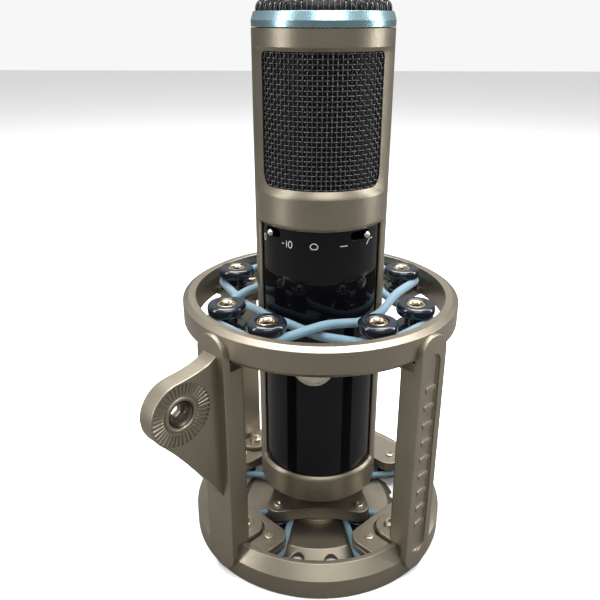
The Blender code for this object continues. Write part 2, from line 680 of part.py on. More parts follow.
def make_lower_suspension(axis, rubber, cord):
    hang = BOBBIN_CEILING - GAP - LOWER_BOBBIN_HEIGHT
    wrap = LOWER_CORE_RADIUS + GAP + LOWER_CORD_RADIUS
    groove = hang + LOWER_BOBBIN_HEIGHT / 2
    flanges = (LOWER_FLANGE, LOWER_FLANGE)
    size = (LOWER_BOBBIN_HEIGHT, LOWER_BOBBIN_RADIUS, LOWER_CORE_RADIUS, flanges)
    for label, degrees in LOBE_AZIMUTHS.items():
        middle = mount_azimuth(degrees)
        spots = [("corner_bobbin_" + label, middle, CORNER_BOBBIN_PLACE)]
        for side, sign in (("a", -1), ("b", 1)):
            azimuth = middle + sign * LOWER_BOBBIN_SPREAD
            spots.append((f"lower_bobbin_{label}_{side}", azimuth, LOWER_BOBBIN_PLACE))
        circles = []
        for name, azimuth, place in spots:
            spot = direction(azimuth) * place
            frame = empty(f"{name}_place", axis, location=(spot.x, spot.y, hang))
            bobbin(name, frame, *size, rubber)
            circles.append(((spot.x, spot.y), wrap))
        plan = band_plan(circles, 32)
        band(f"lower_band_{label}", [(x, y, groove) for x, y in plan], LOWER_CORD_RADIUS, axis, cord)


def cradle_outline():
    """A square with four round corners and hollow sides, corners on the lobe azimuths."""
    points = []
    reach = CORNER_BOBBIN_PLACE
    for k in range(4):
        corner = math.radians(90) * k
        centre = (reach * math.cos(corner), reach * math.sin(corner))
        points += arc(centre, CRADLE_CORNER, corner - CRADLE_CORNER_SPAN, corner + CRADLE_CORNER_SPAN, 6)
        side = corner + math.pi / 4
        middle = (CRADLE_WAIST * math.cos(side), CRADLE_WAIST * math.sin(side))
        bow = CRADLE_BOW * CRADLE_WAIST
        hollow = (middle[0] + bow * math.cos(side), middle[1] + bow * math.sin(side))
        sweep = CRADLE_HOLLOW_SPAN / CRADLE_BOW
        points += arc(hollow, bow, side + math.pi + sweep, side + math.pi - sweep, 6)
    return points


def make_cradle(axis, bronze, dark):
    frame = empty("cradle_frame", axis, mount_azimuth(-45))
    bottom = BOBBIN_CEILING
    plate = prism("cradle_plate", cradle_outline(), bottom, CRADLE_TOP, frame, dark)
    bore = arc((0, 0), NECK_RADIUS + GAP, 0, TURN, 32)[:-1]
    cut(plate, prism("cradle_bore", bore, 0, 2 * CRADLE_TOP, frame, None))
    inner = NECK_RADIUS + GAP
    high = bottom - GAP
    low = high - WASHER_THICKNESS
    profile = [(WASHER_RADIUS, high), (WASHER_RADIUS, low), (inner, low), (inner, high)]
    turned("clamp_washer", profile, axis, dark, steps=32)
    hub_top = low - GAP
    flange_top = BOBBIN_CEILING - GAP - LOWER_BOBBIN_HEIGHT - GAP
    nut = turned("lock_nut", [
        (NUT_HUB_RADIUS, hub_top),
        (NUT_HUB_RADIUS, flange_top),
        (NUT_TOP_RADIUS, flange_top),
        (NUT_RADIUS, NUT_BOTTOM),
        (inner, NUT_BOTTOM),
        (inner, hub_top),
    ], axis, bronze, steps=48)
    for number in range(FLUTES):
        spot = direction(FLUTE_PHASE + TURN * number / FLUTES) * NUT_RADIUS
        outline = arc((spot.x, spot.y), FLUTE_RADIUS, 0, TURN, 10)[:-1]
        cut(nut, prism(f"flute_{number + 1}", outline, -flange_top, 2 * flange_top, axis, None))


# ------------------------------------------------------------------ assembly
def footprint_centre():
    """Centre of the bounding box: the ring all round, and the stand lug on one side."""
    azimuth = mount_azimuth(POST_AZIMUTHS["front_left"])
    outward, across = direction(azimuth), direction(azimuth + math.pi / 2)
    tip = outward * LUG_PLACE
    half = across * (LUG_THICKNESS / 2)
    reach_x = max(-(tip + side * half).x for side in (1, -1)) + LUG_END_RADIUS * abs(outward.x)
    reach_y = max(-(tip + side * half).y for side in (1, -1)) + LUG_END_RADIUS * abs(outward.y)
    return (RING_RADIUS - reach_x) / 2, (RING_RADIUS - reach_y) / 2


def build():
    for old in list(bpy.data.objects):
        bpy.data.objects.remove(old, do_unlink=True)
    bronze = finish("bronze_paint", (0.33, 0.29, 0.22), 0.42, 0.8)
    dark = finish("dark_bronze", (0.12, 0.10, 0.08), 0.5, 0.7)
    black = finish("black_gloss", (0.01, 0.01, 0.012), 0.08, 0.0)
    mesh_black = finish("grille_mesh", (0.05, 0.05, 0.055), 0.45, 0.8)
    blue = finish("blue_anodised", (0.30, 0.48, 0.56), 0.35, 0.9)
    rubber = finish("navy_bobbin", (0.01, 0.015, 0.03), 0.15, 0.0)
    cord = finish("blue_elastic", (0.22, 0.38, 0.48), 0.7, 0.0)
    chrome = finish("chrome", (0.8, 0.8, 0.8), 0.1, 1.0)
    gold = finish("gold_screw", (0.75, 0.58, 0.3), 0.25, 1.0)
    brass = finish("capsule_brass", (0.7, 0.55, 0.3), 0.35, 1.0)
    board_green = finish("circuit_board", (0.02, 0.12, 0.05), 0.5, 0.0)

    centre_x, centre_y = footprint_centre()
    axis = empty("microphone_axis", location=(-centre_x, -centre_y, 0))
    spokes = {
        label: empty(f"spoke_{label}", axis, mount_azimuth(degrees))
        for label, degrees in LOBE_AZIMUTHS.items()
    }
    make_housing(axis, bronze)
    make_barrel(axis, black)
    make_switch("pad_switch", PAD_REST, axis, chrome)
    make_switch("low_cut_switch", LOW_CUT_REST, axis, chrome)
    make_badge(axis, bronze)
    make_top(axis, blue, mesh_black)
    make_side_mesh(axis, mesh_black)
    make_capsule(axis, brass, gold, dark)
    make_electronics(axis, board_green, dark)
    make_base(axis, bronze, black, gold)
    make_rings(axis, spokes, bronze)
    make_posts(spokes, bronze, gold)
    make_upper_suspension(axis, rubber, cord)
    make_lower_suspension(axis, rubber, cord)
    make_cradle(axis, bronze, dark)


build()
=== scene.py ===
"""Looks of a side-address condenser microphone standing in its round elastic shock mount.

Runs in Blender 4.5 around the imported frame.  Metres, +Z up.  An azimuth is an angle about the
microphone's own axis, 0 at the front (-Y) and positive to the right (+X).  A spoke is a straight
line out from that axis.  The mount sits turned by a degree and a half on the microphone.
"""
import math

import bmesh
import bpy
import numpy as np
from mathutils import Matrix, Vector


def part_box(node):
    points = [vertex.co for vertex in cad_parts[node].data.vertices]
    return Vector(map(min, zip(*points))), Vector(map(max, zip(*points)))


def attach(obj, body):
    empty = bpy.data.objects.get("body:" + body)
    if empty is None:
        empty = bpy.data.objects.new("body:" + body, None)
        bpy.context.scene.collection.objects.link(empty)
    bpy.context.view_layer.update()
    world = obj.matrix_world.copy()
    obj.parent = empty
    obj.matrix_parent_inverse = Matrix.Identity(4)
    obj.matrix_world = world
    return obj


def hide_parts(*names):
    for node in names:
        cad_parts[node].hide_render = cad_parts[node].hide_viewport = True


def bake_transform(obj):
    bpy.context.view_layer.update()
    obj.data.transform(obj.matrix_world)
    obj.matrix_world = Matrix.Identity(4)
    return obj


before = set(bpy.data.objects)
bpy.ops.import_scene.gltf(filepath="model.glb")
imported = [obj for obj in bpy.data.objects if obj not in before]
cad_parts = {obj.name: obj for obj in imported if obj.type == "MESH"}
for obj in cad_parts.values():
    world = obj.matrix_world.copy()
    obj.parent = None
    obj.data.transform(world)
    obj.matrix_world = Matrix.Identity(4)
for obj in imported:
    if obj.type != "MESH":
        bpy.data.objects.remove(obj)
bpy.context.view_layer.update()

# ------------------------------------------------------------------ stage, light and camera
# The object stands on a plain pale floor in a white room.  Two tall soft lights stand at its
# sides, a broad one hangs over it, and the camera looks down on it a little from the front.
housing_low, housing_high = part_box("mic_housing")
AXIS = ((housing_low.x + housing_high.x) / 2, (housing_low.y + housing_high.y) / 2)
TURN = 2 * math.pi
MM = 0.001


def add_light(name, place, target, size, power, tint=(1, 1, 1)):
    """A rectangular soft light at a place, turned to face its target."""
    data = bpy.data.lights.new(name, "AREA")
    data.shape = "RECTANGLE"
    data.size, data.size_y = size
    data.energy = power
    data.color = tint
    lamp = bpy.data.objects.new(name, data)
    bpy.context.scene.collection.objects.link(lamp)
    lamp.location = place
    aim = np.array(target) - np.array(place)
    lamp.rotation_euler = (
        math.atan2(math.hypot(aim[0], aim[1]), -aim[2]), 0, math.atan2(aim[1], aim[0]) - math.pi / 2)
    return lamp


LIGHT_TARGET = (0, 0, 0.12)
add_light("softbox_left", (-0.75, -0.30, 0.42), LIGHT_TARGET, (0.16, 0.9), 4)
add_light("softbox_right", (0.80, 0.05, 0.40), LIGHT_TARGET, (0.14, 0.9), 5)
add_light("overhead", (0.05, 0.15, 0.95), LIGHT_TARGET, (0.9, 0.7), 21)
add_light("front_fill", (0.20, -0.95, 0.95), LIGHT_TARGET, (0.9, 0.3), 6)


def studio_world():
    """A white room: pale behind the object, and for its reflections bright above and dim at the sides."""
    room = bpy.data.worlds.new("white_room")
    room.use_nodes = True
    nodes, links = room.node_tree.nodes, room.node_tree.links
    way, split = nodes.new("ShaderNodeTexCoord"), nodes.new("ShaderNodeSeparateXYZ")
    links.new(way.outputs["Generated"], split.inputs["Vector"])
    rise = nodes.new("ShaderNodeMapRange")
    rise.inputs["From Min"].default_value = -0.1
    rise.inputs["From Max"].default_value = 0.9
    rise.inputs["To Min"].default_value = 0.10
    rise.inputs["To Max"].default_value = 0.95
    links.new(split.outputs["Z"], rise.inputs["Value"])
    ray, mix = nodes.new("ShaderNodeLightPath"), nodes.new("ShaderNodeMix")
    mix.data_type = "RGBA"
    links.new(ray.outputs["Is Camera Ray"], mix.inputs["Factor"])
    links.new(rise.outputs["Result"], mix.inputs[6])
    mix.inputs[7].default_value = (0.93, 0.93, 0.94, 1)
    links.new(mix.outputs[2], nodes["Background"].inputs["Color"])
    return room


bpy.context.scene.world = studio_world()
bpy.context.scene.view_settings.view_transform = "Standard"


def floor_finish():
    """A pale matt floor that throws less light back on the object than it shows."""
    material = bpy.data.materials.new("pale_floor")
    material.use_nodes = True
    nodes, links = material.node_tree.nodes, material.node_tree.links
    shader = nodes["Principled BSDF"]
    shader.inputs["Roughness"].default_value = 0.8
    shader.inputs["Specular IOR Level"].default_value = 0.1
    ray, mix = nodes.new("ShaderNodeLightPath"), nodes.new("ShaderNodeMix")
    mix.data_type = "RGBA"
    links.new(ray.outputs["Is Camera Ray"], mix.inputs["Factor"])
    mix.inputs[6].default_value = (0.16, 0.155, 0.15, 1)
    mix.inputs[7].default_value = (0.90, 0.90, 0.90, 1)
    links.new(mix.outputs[2], shader.inputs["Base Color"])
    return material


floor_mesh = bpy.data.meshes.new("floor")
FLOOR_REACH = 3.0
FLOOR_LEVEL = -0.3 * MM
corners = [(-1, -1), (1, -1), (1, 1), (-1, 1)]
floor_mesh.from_pydata([(x * FLOOR_REACH, y * FLOOR_REACH, FLOOR_LEVEL) for x, y in corners], [],
                       [(0, 1, 2, 3)])
floor_mesh.materials.append(floor_finish())
floor = bpy.data.objects.new("floor", floor_mesh)
bpy.context.scene.collection.objects.link(floor)

camera = bpy.data.objects.new("camera", bpy.data.cameras.new("camera"))
camera.data.lens = 40.03
camera.data.sensor_width = 36
camera.data.clip_start = 0.01
camera.location = (AXIS[0], AXIS[1] - 0.2737, 0.2299)
camera.rotation_euler = (math.radians(67.02), 0, math.radians(1.85))
bpy.context.scene.collection.objects.link(camera)
bpy.context.scene.camera = camera

# ------------------------------------------------------------------ the tubular housing
# A drawn brass tube, cut away in front for the black barrel and on both sides for the grille,
# with milled bevels round the openings, sprayed in a satin metallic bronze.  It is made as
# loops of points that run in from each panel's edge to its window, through the wall and back.
HOUSING_RADIUS = (housing_high.x - housing_low.x) / 2
HOUSING_WALL = 1.5 * MM
HOUSING_CHAMFER = 0.8 * MM
BODY_BAND = 31.0 * MM            # heights where the panels of the housing meet
GRILLE_BAND = 160.0 * MM
ACROSS = 72                      # steps of a half turn


def unit(vectors):
    return vectors / np.linalg.norm(vectors, axis=-1, keepdims=True)


def grid_faces(count, rows, columns, close_rows, close_columns):
    """Corner numbers of the quads of several equal grids; a closed way wraps round on itself."""
    down, over = np.arange(rows - (not close_rows)), np.arange(columns - (not close_columns))
    row, column = np.meshgrid(down, over, indexing="ij")
    near, far = row * columns, (row + 1) % rows * columns
    right = (column + 1) % columns
    quads = np.stack([near + column, near + right, far + right, far + column], axis=-1).reshape(-1, 4)
    return (np.arange(count)[:, None, None] * rows * columns + quads).reshape(-1, 4)


def grid_marks(count, rows, columns, close_rows, close_columns, spacing):
    """UV of the same corners: turns across the columns, and metres along the rows."""
    down, over = np.arange(rows - (not close_rows)), np.arange(columns - (not close_columns))
    row, column = np.meshgrid(down, over, indexing="ij")
    across = np.stack([column, column + 1, column + 1, column], axis=-1) / columns
    along = np.stack([row, row, row + 1, row + 1], axis=-1) * spacing
    return np.tile(np.stack([across, along], axis=-1).reshape(-1, 2), (count, 1))


def piece(name, grids, material, body, replaced=(), caps=(), smooth=38, spacing=0.0, level=True):
    """One closed mesh from grids of points and flat caps, welded where they meet.

    A grid is (points, rows closed, columns closed), with points in rows and columns, or several
    such grids stacked.  Faces are turned outwards, and edges sharper than smooth stay sharp.
    """
    points, quads, marks, start = [], [], [], 0
    for grid, close_rows, close_columns in grids:
        stack = grid.reshape(-1, *grid.shape[-3:])
        count, rows, columns = stack.shape[:3]
        quads.append(grid_faces(count, rows, columns, close_rows, close_columns) + start)
        marks.append(grid_marks(count, rows, columns, close_rows, close_columns, spacing))
        points.append(stack.reshape(-1, 3))
        start += count * rows * columns
    points, quads, marks = np.concatenate(points), np.concatenate(quads), np.concatenate(marks)
    mesh = bpy.data.meshes.new(name)
    mesh.vertices.add(len(points))
    mesh.vertices.foreach_set("co", points.astype(np.float32).ravel())
    mesh.loops.add(quads.size)
    mesh.loops.foreach_set("vertex_index", quads.astype(np.int32).ravel())
    mesh.polygons.add(len(quads))
    mesh.polygons.foreach_set("loop_start", np.arange(0, quads.size, 4, dtype=np.int32))
    mesh.uv_layers.new(name="along").data.foreach_set("uv", marks.astype(np.float32).ravel())
    mesh.update(calc_edges=True)
    bm = bmesh.new()
    bm.from_mesh(mesh)
    for loop in caps:
        bm.faces.new([bm.verts.new(point) for point in loop])
    bmesh.ops.remove_doubles(bm, verts=bm.verts, dist=2e-6)
    bmesh.ops.recalc_face_normals(bm, faces=bm.faces)
    bmesh.ops.triangulate(bm, faces=[face for face in bm.faces if len(face.verts) > 4])
    bm.to_mesh(mesh)
    bm.free()
    mesh.shade_smooth()
    mesh.set_sharp_from_angle(angle=math.radians(smooth))
    mesh.materials.append(material)
    made = bpy.data.objects.new(name, mesh)
    bpy.context.scene.collection.objects.link(made)
    if level:
        normals = made.modifiers.new("level faces", "WEIGHTED_NORMAL")
        normals.keep_sharp = True
    if body:
        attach(made, body)
    if replaced:
        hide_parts(*replaced)
    return made


def on_cylinder(azimuth, height, radius):
    """Points at an azimuth, a height and a distance from the microphone's axis."""
    azimuth, height, radius = np.broadcast_arrays(azimuth, height, radius)
    across, back = radius * np.sin(azimuth), -radius * np.cos(azimuth)
    return np.stack([AXIS[0] + across, AXIS[1] + back, height], axis=-1)


def edge_loop(start, end, low, high, across, up):
    """Evenly spaced points round a rectangle of azimuth and height."""
    s, t = np.arange(across) / across, np.arange(up) / up
    azimuth = [start + (end - start) * s, np.full(up, end), end - (end - start) * s, np.full(up, start)]
    height = [np.full(across, low), low + (high - low) * t, np.full(across, high), high - (high - low) * t]
    return np.stack([np.concatenate(azimuth), np.concatenate(height)], axis=-1)


def round_corners(loop, low_radius, high_radius, cylinder):
    """Pushes a rectangle's corners in to arcs.

    A point near a corner goes to that corner's radius from the nearest point of the rectangle
    that is smaller all round by the radius.
    """
    flat = loop * (cylinder, 1)
    low, high = flat.min(axis=0), flat.max(axis=0)
    radius = np.where(flat[:, 1] > (low[1] + high[1]) / 2, high_radius, low_radius)[:, None]
    inside = np.clip(flat, low + radius, high - radius)
    return (inside + radius * unit(flat - inside)) / (cylinder, 1)


def windowed_panel(panel, edge, opening, corners, radii, up, bevel=1.0 * MM):
    """Wall panel with a window: out over the face, down the bevel, through the wall and back.

    panel, edge and opening are (start, end, low, high), the outer face's edge, the bevel's outer
    edge and the clear opening.
    """
    outer, inner = radii
    across = round(ACROSS * (panel[1] - panel[0]) / math.pi)
    rim = edge_loop(*panel, across, up)
    brow = round_corners(edge_loop(*edge, across, up), *(c + 0.6 * bevel for c in corners), outer)
    clear = round_corners(edge_loop(*opening, across, up), *corners, outer)
    share = np.linspace(0, 1, 9)[:, None, None]
    face, slope = rim + share * (brow - rim), brow + share[::4] * (clear - brow)
    back = clear + share * (rim - clear)
    depth = share[::4, :, 0] * bevel
    loops = [on_cylinder(face[..., 0], face[..., 1], outer),
             on_cylinder(slope[..., 0], slope[..., 1], outer - depth),
             on_cylinder(back[..., 0], back[..., 1], inner)]
    return np.concatenate(loops), False, True


def plain_panels(start, end, low, high, radii, up):
    """Wall panel without a window: its outer and its inner face."""
    azimuth = np.linspace(start, end, round(ACROSS * (end - start) / math.pi) + 1)[None, :]
    height = np.linspace(low, high, up + 1)[:, None]
    return [(on_cylinder(azimuth, height, radius), False, False) for radius in radii]


def hoop(profile):
    """A strip of (radius, height) points carried round the axis in the panels' own steps."""
    azimuth = np.arange(2 * ACROSS) / ACROSS * math.pi - math.pi / 2
    radius, height = np.array(profile).T
    return on_cylinder(azimuth[None, :], height[:, None], radius[:, None]), False, True


def variation_group():
    """Node group: broad patches and fine grain, both from 0 to 1, for colour, gloss and relief."""
    group = bpy.data.node_groups.new("surface_variation", "ShaderNodeTree")
    group.interface.new_socket("Place", in_out="INPUT", socket_type="NodeSocketVector")
    for label, value in (("Patch Scale", 60.0), ("Grain Scale", 2500.0)):
        group.interface.new_socket(label, in_out="INPUT", socket_type="NodeSocketFloat").default_value = value
    for label in ("Patches", "Grain"):
        group.interface.new_socket(label, in_out="OUTPUT", socket_type="NodeSocketFloat")
    nodes, links = group.nodes, group.links
    source, result = nodes.new("NodeGroupInput"), nodes.new("NodeGroupOutput")
    for label, scale, detail in (("Patches", "Patch Scale", 5), ("Grain", "Grain Scale", 2)):
        noise = nodes.new("ShaderNodeTexNoise")
        noise.inputs["Detail"].default_value = detail
        links.new(source.outputs["Place"], noise.inputs["Vector"])
        links.new(source.outputs[scale], noise.inputs["Scale"])
        stretch = nodes.new("ShaderNodeMapRange")
        stretch.inputs["From Min"].default_value = 0.3
        stretch.inputs["From Max"].default_value = 0.7
        links.new(noise.outputs["Fac"], stretch.inputs["Value"])
        links.new(stretch.outputs["Result"], result.inputs[label])
    return group


VARIATION = variation_group()


def add_variation(nodes, links, patch, grain):
    """Places the variation group in a material, reading Object coordinates."""
    place = nodes.new("ShaderNodeTexCoord")
    group = nodes.new("ShaderNodeGroup")
    group.node_tree = VARIATION
    group.inputs["Patch Scale"].default_value = patch
    group.inputs["Grain Scale"].default_value = grain
    links.new(place.outputs["Object"], group.inputs["Place"])
    return group


def mixed(nodes, links, share, first, second):
    """A colour that runs from the first to the second as share goes from 0 to 1."""
    mix = nodes.new("ShaderNodeMix")
    mix.data_type = "RGBA"
    links.new(share, mix.inputs["Factor"])
    for socket, value in ((mix.inputs[6], first), (mix.inputs[7], second)):
        if isinstance(value, bpy.types.NodeSocket):
            links.new(value, socket)
        else:
            socket.default_value = (*value, 1)
    return mix.outputs[2]


def spread(nodes, links, value, low, high):
    """A number that runs from low to high as value goes from 0 to 1."""
    node = nodes.new("ShaderNodeMapRange")
    node.inputs["To Min"].default_value = low
    node.inputs["To Max"].default_value = high
    links.new(value, node.inputs["Value"])
    return node.outputs["Result"]


def finish(name, shades, roughness, metallic=0.0, patch=60.0, grain=2500.0, relief=0.0, coat=0.0,
           coat_roughness=0.03, flake=0.0, sheen=0.0):
    """A painted, plated or moulded surface.

    Its colour wanders between two shades in broad patches, fine grain lightens it by flake and
    roughens it, and relief is the grain's height in metres.
    """
    material = bpy.data.materials.new(name)
    material.use_nodes = True
    nodes, links = material.node_tree.nodes, material.node_tree.links
    shader = nodes["Principled BSDF"]
    shader.inputs["Metallic"].default_value = metallic
    shader.inputs["Coat Weight"].default_value = coat
    shader.inputs["Coat Roughness"].default_value = coat_roughness
    shader.inputs["Sheen Weight"].default_value = sheen
    variation = add_variation(nodes, links, patch, grain)
    colour = mixed(nodes, links, variation.outputs["Patches"], *shades)
    if flake:
        sparkle = spread(nodes, links, variation.outputs["Grain"], 0.0, flake)
        colour = mixed(nodes, links, sparkle, colour, tuple(min(1.0, 2.2 * c) for c in shades[1]))
    links.new(colour, shader.inputs["Base Color"])
    gloss = spread(nodes, links, variation.outputs["Grain"], roughness * 0.85, roughness * 1.15)
    links.new(gloss, shader.inputs["Roughness"])
    if relief:
        bump = nodes.new("ShaderNodeBump")
        bump.inputs["Distance"].default_value = relief
        links.new(variation.outputs["Grain"], bump.inputs["Height"])
        links.new(bump.outputs["Normal"], shader.inputs["Normal"])
    return material


BRONZE = finish("satin_bronze_paint", ((0.205, 0.180, 0.138), (0.245, 0.216, 0.168)), 0.36, 0.85,
                patch=45, grain=3800, relief=0.00002, flake=0.22)

HALF = math.pi / 2
FRONT, BACK = (-HALF, HALF), (HALF, 3 * HALF)
housing_walls = (HOUSING_RADIUS, HOUSING_RADIUS - HOUSING_WALL)
body_clear, body_bevel = math.radians(68), math.radians(71)
grille_clear, grille_bevel = math.radians(60.5), math.radians(76)
housing_foot, housing_head = housing_low.z, housing_high.z
grids = [
    windowed_panel((*FRONT, BODY_BAND, GRILLE_BAND), (-body_bevel, body_bevel, 36.5 * MM, 154.6 * MM),
                   (-body_clear, body_clear, 37.9 * MM, 153.3 * MM), (1.5 * MM, 1.5 * MM), housing_walls, 96),
    *plain_panels(*BACK, BODY_BAND, GRILLE_BAND, housing_walls, 96),
]
for middle in (0, math.pi):
    side = (middle - HALF, middle + HALF, GRILLE_BAND, housing_head)
    grids.append(windowed_panel(
        side, (middle - grille_bevel, middle + grille_bevel, 166.3 * MM, 220.1 * MM),
        (middle - grille_clear, middle + grille_clear, 169.0 * MM, 218.6 * MM),
        (5.5 * MM, 2.6 * MM), housing_walls, 60, bevel=1.4 * MM))
outer, inner = housing_walls
grids.append(hoop([(outer, BODY_BAND), (outer, housing_foot + HOUSING_CHAMFER),
                   (outer - HOUSING_CHAMFER, housing_foot), (inner, housing_foot), (inner, BODY_BAND)]))
grids.append(hoop([(outer, housing_head), (inner, housing_head)]))
piece("housing_shell", grids, BRONZE, "microphone", ["mic_housing"])

# ------------------------------------------------------------------ the woven side grille
# Black painted steel wire in a plain weave, rolled to a cylinder inside the housing.  Upright
# and level wires pass over and under each other in turn, so each waves out and in by its radius.
WIRE_PITCH = 1.8 * MM
WIRE_RADIUS = 0.27 * MM
WEAVE_DEPTH = 0.25 * MM
GRILLE_RADIUS = 25.35 * MM
WIRE_SIDES = 5
grille_low, grille_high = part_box("side_grille")


def wires(paths, outward, radius, sides=WIRE_SIDES):
    """Round wires along rows of points, with closed ends; outward is each point's face normal."""
    tangent = unit(np.gradient(paths, axis=1))
    side = unit(np.cross(tangent, outward))
    out = np.cross(side, tangent)
    angle = TURN * np.arange(sides) / sides
    ring = np.cos(angle)[:, None] * out[..., None, :] + np.sin(angle)[:, None] * side[..., None, :]
    around = paths[..., None, :] + radius * ring
    ends = [np.repeat(paths[:, k, None, None, :], sides, axis=2) for k in (0, -1)]
    return np.concatenate([ends[0], around, ends[1]], axis=1), False, True


GRILLE_WIRE = finish("black_grille_wire", ((0.020, 0.020, 0.022), (0.045, 0.045, 0.048)), 0.24, 0.35,
                     patch=300, grain=5000, flake=0.2, coat=0.6, coat_roughness=0.12)
wire_turn = TURN / round(TURN * GRILLE_RADIUS / WIRE_PITCH)
levels = np.arange(grille_low.z + WIRE_PITCH / 2, grille_high.z, WIRE_PITCH)
for label, middle in (("front", 0.0), ("rear", math.pi)):
    half_count = round(math.radians(74) / wire_turn)
    number = np.arange(-half_count, half_count + 1)[:, None]
    rise = np.linspace(grille_low.z, grille_high.z, 4 * len(levels) + 1)[None, :]
    wave = np.cos(math.pi * ((rise - levels[0]) / WIRE_PITCH + number))
    azimuth = np.broadcast_to(middle + number * wire_turn, wave.shape)
    upright = on_cylinder(azimuth, rise, GRILLE_RADIUS + WEAVE_DEPTH * wave)
    outward = on_cylinder(azimuth, rise, 1.0) - on_cylinder(azimuth, rise, 0.0)
    sweep = np.linspace(-half_count, half_count, 8 * half_count + 1)[None, :]
    row = np.arange(len(levels))[:, None]
    wave = -np.cos(math.pi * (sweep + row))
    height = np.broadcast_to(levels[:, None], wave.shape)
    level_wires = on_cylinder(middle + sweep * wire_turn, height, GRILLE_RADIUS + WEAVE_DEPTH * wave)
    rim_points = on_cylinder(middle + sweep * wire_turn, height, 1.0)
    level_out = rim_points - on_cylinder(middle + sweep * wire_turn, height, 0.0)
    piece(f"woven_grille_{label}",
          [wires(upright, outward, WIRE_RADIUS), wires(level_wires, level_out, WIRE_RADIUS)],
          GRILLE_WIRE, "microphone", ["side_grille"], smooth=80, level=False)

# ------------------------------------------------------------------ the domed top grille
# The same wire woven flat and pressed to a low dome inside the trim ring, over a dark lining of
# much finer mesh.  Wires run left to right and front to back.  The dome's section is an ellipse
# with fuller shoulders, and its edge rests on the trim ring's lip.
DOME_PITCH = 1.9 * MM
DOME_WEAVE = 0.26 * MM
dome_low, dome_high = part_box("top_grille")
trim_low, trim_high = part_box("trim_ring")
DOME_RADIUS = (dome_high.x - dome_low.x) / 2
DOME_RISE = dome_high.z - trim_high.z
DOME_POWER = 2.6


def dome_point(x, y, lift, shrink):
    """A point of the dome over (x, y), moved out along the dome's normal by lift."""
    radius, rise = DOME_RADIUS - shrink, DOME_RISE - shrink
    out = np.clip((x ** 2 + y ** 2) / radius ** 2, 0, 1)
    height = rise * (1 - out ** (DOME_POWER / 2)) ** (1 / DOME_POWER)
    slope = out ** (DOME_POWER / 2 - 1) / radius ** 2
    steep = (np.maximum(height, 1e-5) / rise) ** (DOME_POWER - 1) / rise
    normal = unit(np.stack([x * slope, y * slope, steep], axis=-1))
    base = np.stack([AXIS[0] + x, AXIS[1] + y, trim_high.z + height], axis=-1)
    return base + normal * lift[..., None], normal


def dome_wires(along_x):
    """Wires over the dome one way; each reaches from rim to rim and waves over and under."""
    shrink = WIRE_RADIUS + DOME_WEAVE
    count = int((DOME_RADIUS - shrink) / DOME_PITCH - 0.3)
    number = np.arange(-count, count + 1)[:, None]
    across = number * DOME_PITCH
    reach = np.sqrt((DOME_RADIUS - shrink) ** 2 - across ** 2)
    along = reach * np.sin(np.linspace(-HALF, HALF, 121))[None, :]
    sign = 1 if along_x else -1
    lift = sign * DOME_WEAVE * np.cos(math.pi * (along / DOME_PITCH + number))
    across = np.broadcast_to(across, along.shape)
    x, y = (along, across) if along_x else (across, along)
    points, normal = dome_point(x, y, lift, shrink)
    return wires(points, normal, WIRE_RADIUS)


piece("dome_wires", [dome_wires(True), dome_wires(False)], GRILLE_WIRE, "microphone",
      ["top_grille"], smooth=80, level=False)


def softened(outline, steps=4):
    """A closed outline with rounded corners: each corner is (a, b, radius).

    A corner is swapped for a parabola that touches both of its sides.
    """
    outline = np.array(outline, float)
    points, radii = outline[:, :2], outline[:, 2]
    made = []
    for k, (corner, radius) in enumerate(zip(points, radii)):
        back, ahead = points[k - 1] - corner, points[(k + 1) % len(points)] - corner
        lengths = np.linalg.norm(back), np.linalg.norm(ahead)
        cosine = np.clip(back @ ahead / (lengths[0] * lengths[1]), -1, 1)
        reach = min(radius / math.tan(math.acos(cosine) / 2 + 1e-9), 0.49 * lengths[0], 0.49 * lengths[1])
        if reach < 1e-7:
            made.append(corner)
            continue
        start, end = corner + back / lengths[0] * reach, corner + ahead / lengths[1] * reach
        s = np.linspace(0, 1, steps + 1)[:, None]
        made.extend((1 - s) ** 2 * start + 2 * s * (1 - s) * corner + s ** 2 * end)
    return np.array(made)


def polar_shell(rows, origin, axis=(0, 0, 1), samples=96, closed=True):
    """A closed solid from loops about an axis: each row is (radius, height along the axis).

    A radius may be an array, one value for each of the samples round the axis.
    """
    axis = unit(np.array(axis, float))
    first = unit(np.cross(axis, (0, 0, 1)) if abs(axis[2]) < 0.9 else np.array((1.0, 0, 0)))
    second = np.cross(axis, first)
    angle = TURN * np.arange(samples) / samples
    ring = np.cos(angle)[:, None] * first + np.sin(angle)[:, None] * second
    loops = [np.array(origin) + np.reshape(radius * np.ones(samples), (-1, 1)) * ring
             + np.reshape(height * np.ones(samples), (-1, 1)) * axis for radius, height in rows]
    return np.stack(loops), closed, True


def on_axis(height=0.0):
    return (AXIS[0], AXIS[1], height)


lining = [(0.0, DOME_RISE - 1.5 * MM)]
lining_radius = DOME_RADIUS - 1.2 * MM
lining += [(lining_radius * math.sin(a) ** (2 / DOME_POWER),
            (DOME_RISE - 1.5 * MM) * math.cos(a) ** (2 / DOME_POWER))
           for a in np.linspace(0.12, math.pi / 2, 14)]
lining += [(lining_radius, -3 * MM), (lining_radius - MM, -3 * MM), (lining_radius - MM, -0.5 * MM),
           (0.0, -0.5 * MM)]


